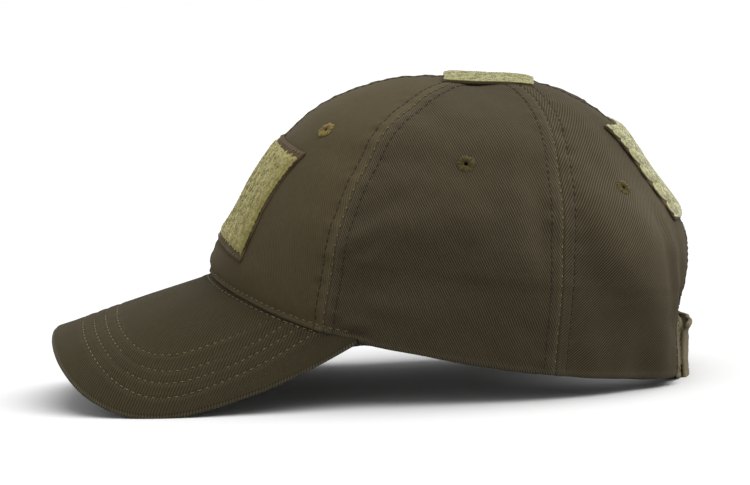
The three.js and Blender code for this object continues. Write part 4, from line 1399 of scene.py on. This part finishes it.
def strap_surface(u, z, sign, lap_offset):
    """Strap end: it follows the rear wall's inside, swings out to its lap and sags."""
    sewn = -CROWN_WALL - 0.6 - STRAP_WALL / 2
    top_share = (STRAP_LIFT + STRAP_WIDTH) / ARCH_HEIGHT
    open_from = ARCH_HALF_WIDTH * (1 - top_share**ARCH_FULLNESS) ** (1 / ARCH_FULLNESS)
    free = smooth(open_from + u * sign, 0, open_from - STRAP_LAP)
    step = 0.5
    spot = rear_surface(-u, z)
    normal = unit(np.cross(rear_surface(-u - step, z) - rear_surface(-u + step, z),
                           rear_surface(-u, z + step) - rear_surface(-u, np.maximum(z - step, 0.1))))
    point = spot + normal * lerp(sewn, lap_offset, free)[..., None]
    point[..., 2] -= STRAP_SAG * free
    return point, normal, free


def make_strap(name, sign, lap_offset, node):
    """One end of the strap: a tape with a hemmed edge, whose free part rolls over at its top."""
    start = ARCH_HALF_WIDTH + BINDING_WIDTH + STRAP_SEWN
    ends = (-start, STRAP_LAP) if sign > 0 else (-STRAP_LAP, start)
    u, v = np.meshgrid(np.linspace(*ends, 150), np.linspace(0, 1, 44))
    z = STRAP_LIFT + (STRAP_WIDTH - STRAP_CURL) * v
    point, normal, free = strap_surface(u, z, sign, lap_offset)
    edge = np.minimum(v, 1 - v) * STRAP_WIDTH
    flat = np.stack([u, z], -1)
    curl = free * STRAP_CURL * smooth(v, 0.78, 1.0) * (0.7 if sign < 0 else -0.3)
    wave = 0.18 * waves(flat, 16, 95 + sign) + 0.05 * waves(flat, 4, 97 + sign)
    hem = 0.16 * (1 - smooth(edge, 2.2, 3.0)) - 0.2 * bump(edge - 2.7, 0.45)
    half = STRAP_WALL / 2
    outer = point + normal * (half + hem + wave + curl)[..., None]
    inner = point + normal * (-half + wave + curl)[..., None]
    wear_and_highlight = bump(edge - 0.6, 0.8) + 0.3 * bump(edge - 2, 0.6)
    piece = add_sheet(name, outer, inner, rounds=3, marks={"wear_and_highlight": wear_and_highlight},
                      finish="strap tape", slot="strap_cloth", nodes=[node])


def make_sweatband():
    """Strip inside the hem, which covers the peak's inner edge in front."""
    end = float(angle_at_x(np.array(ARCH_HALF_WIDTH + BINDING_WIDTH + STRAP_SEWN + STRAP_WALL), 0.0, True))
    per_length = climb_after(90, 0, BAND_WIDTH) / BAND_WIDTH
    angle, share = np.meshgrid(np.linspace(-end, end, 260), np.linspace(0, 1, 34))
    stack = PEAK_BOARD + SEAM_GAP + PEAK_LINING
    behind = smooth(np.abs(angle), CORNER_ANGLE - HEM_STEP_ANGLE, CORNER_ANGLE + HEM_STEP_ANGLE)
    up = BAND_WIDTH * share - lerp(stack, BAND_SHOWS, behind)
    climb = np.maximum(0, up) * per_length
    base = crown(angle, climb)
    base[..., 2] += np.minimum(0, up)
    normal = normal_of(crown, angle, climb)
    base += normal * np.minimum(0, cloth_relief(angle, climb)[0])[..., None]
    around = np.stack([angle * FOLD_SPREAD, share * BAND_WIDTH], -1)
    puff = 0.25 * np.sin(np.pi * share) + 0.12 * waves(around, 14, 99)
    edge = np.minimum(share, 1 - share) * BAND_WIDTH
    outside = CROWN_WALL + BAND_CLEARANCE
    outer = base - normal * outside
    inner = base - normal * (outside + BAND_WALL + puff - 0.25 * bump(edge - 3, 0.5))[..., None]
    piece = add_sheet("sweatband_cloth", outer, inner, 45.0, rounds=3, marks={"wear_and_highlight": bump(edge - 0.5, 0.6)},
                      finish="lining twill", slot="lining_cloth", nodes=["sweatband"])


# Stitching


def crown_paths():
    """Stitch rows beside each seam and round the arch."""
    paths = []
    steps = 420
    climb = np.linspace(0.008, 0.93, steps)
    for seam, row in SEAMS:
        line = seam(climb)
        wide = spread(line, climb)
        for side in (-1, 1):
            angle = line + side * row / wide
            point, normal = cloth(angle, climb, 0.12)
            clear = (seam is not rear_middle) | ~in_arch(point, ARCH_ROW_CLEAR)
            paths.append((point[clear], normal[clear]))
    share = np.linspace(0.012, 0.988, 400)
    x, z = arch(share, ARCH_ROW)
    angle, climb = rear_place(x, z)
    paths.append(cloth(angle, climb, 0.1))
    return paths


def seam_paths():
    """Places where the side seams' own pale thread shows between the panels."""
    paths = []
    climb = np.linspace(0.02, 0.86, 400)
    for seam, side in ((front_seam, 0.35), (rear_seam, 0.55)):
        for sign in (1, -1):
            line = seam(climb) * sign
            paths.append(cloth(line - sign * side / spread(line, climb), climb, 0.1))
    return paths


def peak_seam_path():
    """The peak's row in front of the crown."""
    point, normal = peak_frame(*peak_seam_row().T)
    return [(point + normal * (PEAK_PADDING - 0.25), normal)]


def hem_path():
    """The crown's row above the peak."""
    angle = np.linspace(-CORNER_ANGLE + 2, CORNER_ANGLE - 2, 500)
    return [cloth(angle, np.full(500, HEM_ROW / CLOTH_HEIGHT), 0.15)]


def frayed_ends():
    """Loose thread ends at the foot of the arch: short tubes that curl down from the overlock."""
    rng = np.random.default_rng(401)
    rings = 12
    t = np.linspace(0, 1, rings)
    roots = []
    for k in range(FRAYS):
        sign = 1 if k < FRAYS_LEFT else -1
        share = 0.012 + 0.02 * rng.uniform()
        x, z = arch(np.array(share if sign > 0 else 1 - share), rng.uniform(-0.4, 2.4))
        angle, climb = rear_place(np.array(float(x)), np.array(max(0.2, float(z))))
        roots.append(crown(angle, climb))
    roots = np.array(roots)
    out = unit(roots * [1, 1, 0])
    drop = rng.uniform(1.5, 3.2, FRAYS)[:, None, None] * t[None, :, None] * np.array([0, 0, -1.0])
    swing = rng.normal(0, 1.0, (FRAYS, 3))
    path = (roots[:, None] + out[:, None] * 0.5 + drop + swing[:, None] * (t**2)[None, :, None]
            + out[:, None] * (1.2 * np.sin(3 * t))[None, :, None] * rng.uniform(0.2, 1, FRAYS)[:, None, None])
    path[..., 2] = np.maximum(path[..., 2], FRAY_LOWEST)
    points = tube(path, np.broadcast_to(np.array([0.3, 0.2, 0.9]), path.shape), FRAY_RADIUS, FRAY_RADIUS, 4)
    return points.reshape(-1, 3), tube_quads(FRAYS, rings, 4), np.zeros(points.size // 3)


def bar_tack():
    """Zigzag of thread that holds the strap's end to the opening's edge."""
    paths = []
    t = np.linspace(0, 1, 240)
    z = STRAP_LIFT + 3 + (STRAP_WIDTH - 6) * t
    saw = np.abs((t * 9) % 1 - 0.5) * 2
    for sign in (-1, 1):
        angle, climb = rear_place(-sign * (TACK_ACROSS + (1.2 + 2.6 * saw)), z)
        paths.append(cloth(angle, climb, 0.15))
    return paths


# Settings


# Colours by name: label, what they colour, red, green and blue
COLOURS = {
    "crown": ("Crown", "the side and rear panels", (0.193, 0.166, 0.112)),
    "stiffened": ("Front panels", "the stiffened front panels", (0.21, 0.18, 0.113)),
    "peak": ("Peak", "the peak's twill", (0.146, 0.124, 0.065)),
    "lining": ("Lining", "the peak's under cloth and the sweatband", (0.165, 0.142, 0.095)),
    "selvedge": ("Selvedge", "the patches' woven margins", (0.24, 0.19, 0.13)),
    "strap": ("Strap", "the strap's tape", (0.344, 0.31, 0.237)),
    "thread": ("Thread", "the paler stitches", (0.39, 0.345, 0.225)),
    "cloth_thread": ("Crown thread", "the stitches beside the crown's seams", (0.158, 0.134, 0.088)),
    "eyelet": ("Eyelet thread", "the embroidered eyelets", (0.38, 0.33, 0.17)),
    "front_pile": ("Front pile", "the front pile's fibres", (0.405, 0.374, 0.185)),
    # the root colours are the darker end of the pile's mix: random darker fibres, and painted shade deep in
    # the pile
    "front_root": ("Front pile shaded root", "the front pile's darker fibres and shaded roots", (0.317, 0.292, 0.128)),
    "top_pile": ("Top pile", "the top pile's fibres", (0.431, 0.422, 0.267)),
    "top_root": ("Top pile shaded root", "the top pile's darker fibres and shaded roots", (0.359, 0.349, 0.201)),
    "rear_pile": ("Rear pile", "the rear pile's fibres", (0.508, 0.5, 0.351)),
    "rear_root": ("Rear pile shaded root", "the rear pile's darker fibres and shaded roots", (0.445, 0.435, 0.29)),
}


class CapLooks(bpy.types.PropertyGroup):
    """Colours and weave of the cloth."""

    weave: FloatProperty(name="Weave pitch", description="Distance between the twill's wales in millimetres",
                         min=0.3, max=3, default=0.88)
    weave_depth: FloatProperty(name="Weave depth", description="Depth of the twill's wales in millimetres",
                               min=0, max=0.5, default=0.16)


for colour_name, (label, part, shade) in COLOURS.items():
    CapLooks.__annotations__[colour_name] = FloatVectorProperty(
        name=label, description=f"Colour of {part}", subtype="COLOR", size=3, min=0, max=1, default=shade)


class CapSewing(bpy.types.PropertyGroup):
    """Sizes of the stitches."""

    pitch: FloatProperty(name="Stitch pitch", description="Distance from stitch to stitch in millimetres",
                         min=1, max=8, default=3.2)
    length: FloatProperty(name="Stitch length", description="Length of thread that shows in millimetres",
                          min=0.5, max=6, default=2.5)
    radius: FloatProperty(name="Thread radius", description="Half the thread's width in millimetres",
                          min=0.1, max=1, default=0.22)


class CapPile(bpy.types.PropertyGroup):
    """Sizes of the looped pile."""

    height: FloatProperty(name="Pile height", description="Share of each patch's own pile height",
                          min=0.3, max=1.5, default=1.0, subtype="FACTOR")
    fibres: FloatProperty(name="Fibres", description="Share of each patch's own number of brushed fibres",
                          min=0, max=2, default=1.0, subtype="FACTOR")


class CapStage(bpy.types.PropertyGroup):
    """Light and camera of the stage."""

    distance: FloatProperty(name="Camera distance", description="From the cap's middle", min=0.3, max=5,
                            default=1.6, unit="LENGTH", subtype="DISTANCE")
    elevation: FloatProperty(name="Camera elevation", description="Above the cap's worn level",
                             min=-1, max=1.5, default=math.radians(5), unit="ROTATION", subtype="ANGLE")
    sky: FloatProperty(name="Sky strength", description="Strength of the even white light", min=0, max=3,
                       default=1.0)
    lamp: FloatProperty(name="Overhead light", description="Strength of the soft light from above", min=0,
                        max=20, default=5.0)
    softness: FloatProperty(name="Overhead softness", description="Angle that the light from above fills",
                            min=0, max=3, default=math.radians(75), unit="ROTATION", subtype="ANGLE")
    floor: FloatVectorProperty(name="Floor", description="Colour of the floor", subtype="COLOR", size=3,
                               min=0, max=1, default=(0.7, 0.7, 0.7))


# Operators


class CAP_OT_crown(bpy.types.Operator):
    """Make the six crown panels and the sweatband inside their hem"""

    bl_idname = "cap.crown"
    bl_label = "Crown panels and sweatband"

    def execute(self, context):
        for kind in PANELS:
            for sign in (1, -1):
                make_panel(kind, sign)
        make_sweatband()
        return {"FINISHED"}


class CAP_OT_eyelets(bpy.types.Operator):
    """Make the six embroidered eyelets"""

    bl_idname = "cap.eyelets"
    bl_label = "Eyelets"

    def execute(self, context):
        for kind in EYELETS:
            for sign in (1, -1):
                make_eyelet(kind, sign)
        return {"FINISHED"}


class CAP_OT_peak(bpy.types.Operator):
    """Make the peak's twill cover and its under cloth"""

    bl_idname = "cap.peak"
    bl_label = "Peak"

    def execute(self, context):
        make_peak()
        return {"FINISHED"}


class CAP_OT_patches(bpy.types.Operator):
    """Make the front, top and rear loop patches"""

    bl_idname = "cap.patches"
    bl_label = "Loop patches"

    def execute(self, context):
        for patch in patch_list():
            make_patch(*patch)
        return {"FINISHED"}


class CAP_OT_rear_opening(bpy.types.Operator):
    """Make the overlocked edge of the rear arch and the strap's two lapped ends"""

    bl_idname = "cap.rear_opening"
    bl_label = "Rear opening and strap"

    def execute(self, context):
        make_binding()
        make_strap("strap_tape_inner", 1, STRAP_OUTER_LAP - STRAP_WALL - SEAM_GAP, "strap_inner")
        make_strap("strap_tape_outer", -1, STRAP_OUTER_LAP, "strap_outer")
        return {"FINISHED"}


class CAP_OT_stitching(bpy.types.Operator):
    """Sew the stitch rows of the crown, the peak, the patches and the strap"""

    bl_idname = "cap.stitching"
    bl_label = "Stitching"

    def execute(self, context):
        sewing = context.scene.cap_sewing
        thread = "olive thread"
        size = (sewing.pitch, sewing.length, sewing.radius)
        make_stitches("crown_stitches", "cloth thread", *sew(crown_paths(), *size))
        make_stitches("seam_stitches", thread, *sew(seam_paths(), *SEAM_STITCH))
        make_stitches("hem_stitches", thread, *sew(hem_path() + peak_seam_path(), *size))
        make_stitches("peak_stitches", thread, *sew(peak_paths(False), *size))
        make_stitches("peak_under_stitches", thread, *sew(peak_paths(True), *size))
        patches = [path for _, patch, place, *_ in patch_list() for path in patch_paths(patch, place)]
        make_stitches("patch_stitches", thread,
                      *sew(patches, sewing.pitch * 0.85, sewing.length * 0.8, sewing.radius * 0.9))
        tack = sew(bar_tack(), *TACK_STITCH)
        make_stitches("strap_tacks_and_frays", thread, *join([tack, frayed_ends()]))
        return {"FINISHED"}


class CAP_OT_stage(bpy.types.Operator):
    """Set up the floor, the soft light and the camera"""

    bl_idname = "cap.stage"
    bl_label = "Stage"

    def execute(self, context):
        scene = context.scene
        stage = scene.cap_stage
        mesh = bpy.data.meshes.new("floor")
        corners = [(x * FLOOR_HALF, y * FLOOR_HALF, 0) for x, y in ((-1, -1), (1, -1), (1, 1), (-1, 1))]
        mesh.from_pydata(corners, [], [(0, 1, 2, 3)])
        floor = bpy.data.objects.new("floor", mesh)
        scene.collection.objects.link(floor)
        paint, _, shader = new_material("pale floor", 0.9)
        shader.inputs["Base Color"].default_value = colour(stage.floor)
        mesh.materials.append(paint)

        world = bpy.data.worlds.new("studio")
        scene.world = world
        world.use_nodes = True
        world.node_tree.nodes["Background"].inputs["Color"].default_value = (1, 1, 1, 1)
        world.node_tree.nodes["Background"].inputs["Strength"].default_value = stage.sky

        light = bpy.data.lights.new("overhead", "SUN")
        light.energy = stage.lamp
        light.angle = stage.softness
        lamp = bpy.data.objects.new("overhead", light)
        lamp.rotation_euler = Vector(LAMP_FROM).to_track_quat("Z", "Y").to_euler()
        scene.collection.objects.link(lamp)

        data = bpy.data.cameras.new("camera")
        data.sensor_width = SENSOR_WIDTH
        data.lens = stage.distance / MM / MM_PER_PIXEL * SENSOR_WIDTH / PICTURE_WIDTH
        camera = bpy.data.objects.new("camera", data)
        # the cap's middle lies off the picture's middle, so the camera aims beside it
        back = np.array([math.cos(stage.elevation), 0, math.sin(stage.elevation)])
        up = np.array([-math.sin(stage.elevation), 0, math.cos(stage.elevation)])
        spot = CAP_MIDDLE + back * stage.distance / MM
        beside = (MIDDLE_PIXEL[0] - CAP_PIXEL[0]) * MM_PER_PIXEL
        below = (CAP_PIXEL[1] - MIDDLE_PIXEL[1]) * MM_PER_PIXEL
        aim = CAP_MIDDLE + np.array([0, 1, 0]) * beside + up * below
        ahead = unit(aim - spot)
        right = unit(np.cross(ahead, up))
        above = np.cross(right, ahead)
        c, s = math.cos(REST_TILT), math.sin(REST_TILT)
        tip = np.array([[1, 0, 0], [0, c, -s], [0, s, c]])
        turn = tip @ np.stack([right, above, -ahead], axis=1)
        camera.matrix_world = Matrix.Translation(Vector(lay(spot))) @ Matrix(turn.tolist()).to_4x4()
        scene.collection.objects.link(camera)
        scene.camera = camera
        scene.view_settings.view_transform = "Standard"
        scene.view_settings.look = "None"
        return {"FINISHED"}


class CAP_PT_panel(bpy.types.Panel):
    """Settings and steps of the cap"""

    bl_idname = "CAP_PT_panel"
    bl_label = "Tactical Cap"
    bl_space_type = "VIEW_3D"
    bl_region_type = "UI"
    bl_category = "Cap"

    def draw(self, context):
        for group in (context.scene.cap_looks, context.scene.cap_sewing, context.scene.cap_pile,
                      context.scene.cap_stage):
            for name in group.__annotations__:
                self.layout.prop(group, name)
        for step in STEPS:
            self.layout.operator(step.bl_idname)


STEPS = (CAP_OT_crown, CAP_OT_eyelets, CAP_OT_peak, CAP_OT_patches, CAP_OT_rear_opening,
         CAP_OT_stitching, CAP_OT_stage)
GROUPS = {"cap_looks": CapLooks, "cap_sewing": CapSewing, "cap_pile": CapPile, "cap_stage": CapStage}


def register():
    for cls in (*GROUPS.values(), *STEPS, CAP_PT_panel):
        bpy.utils.register_class(cls)
    for name, cls in GROUPS.items():
        setattr(bpy.types.Scene, name, PointerProperty(type=cls))


def unregister():
    for name in GROUPS:
        delattr(bpy.types.Scene, name)
    for cls in (CAP_PT_panel, *reversed(STEPS), *GROUPS.values()):
        bpy.utils.unregister_class(cls)


def main():
    register()
    bpy.ops.cap.crown()
    bpy.ops.cap.eyelets()
    bpy.ops.cap.peak()
    bpy.ops.cap.patches()
    bpy.ops.cap.rear_opening()
    bpy.ops.cap.stitching()
    bpy.ops.cap.stage()


if __name__ == "__main__":
    main()
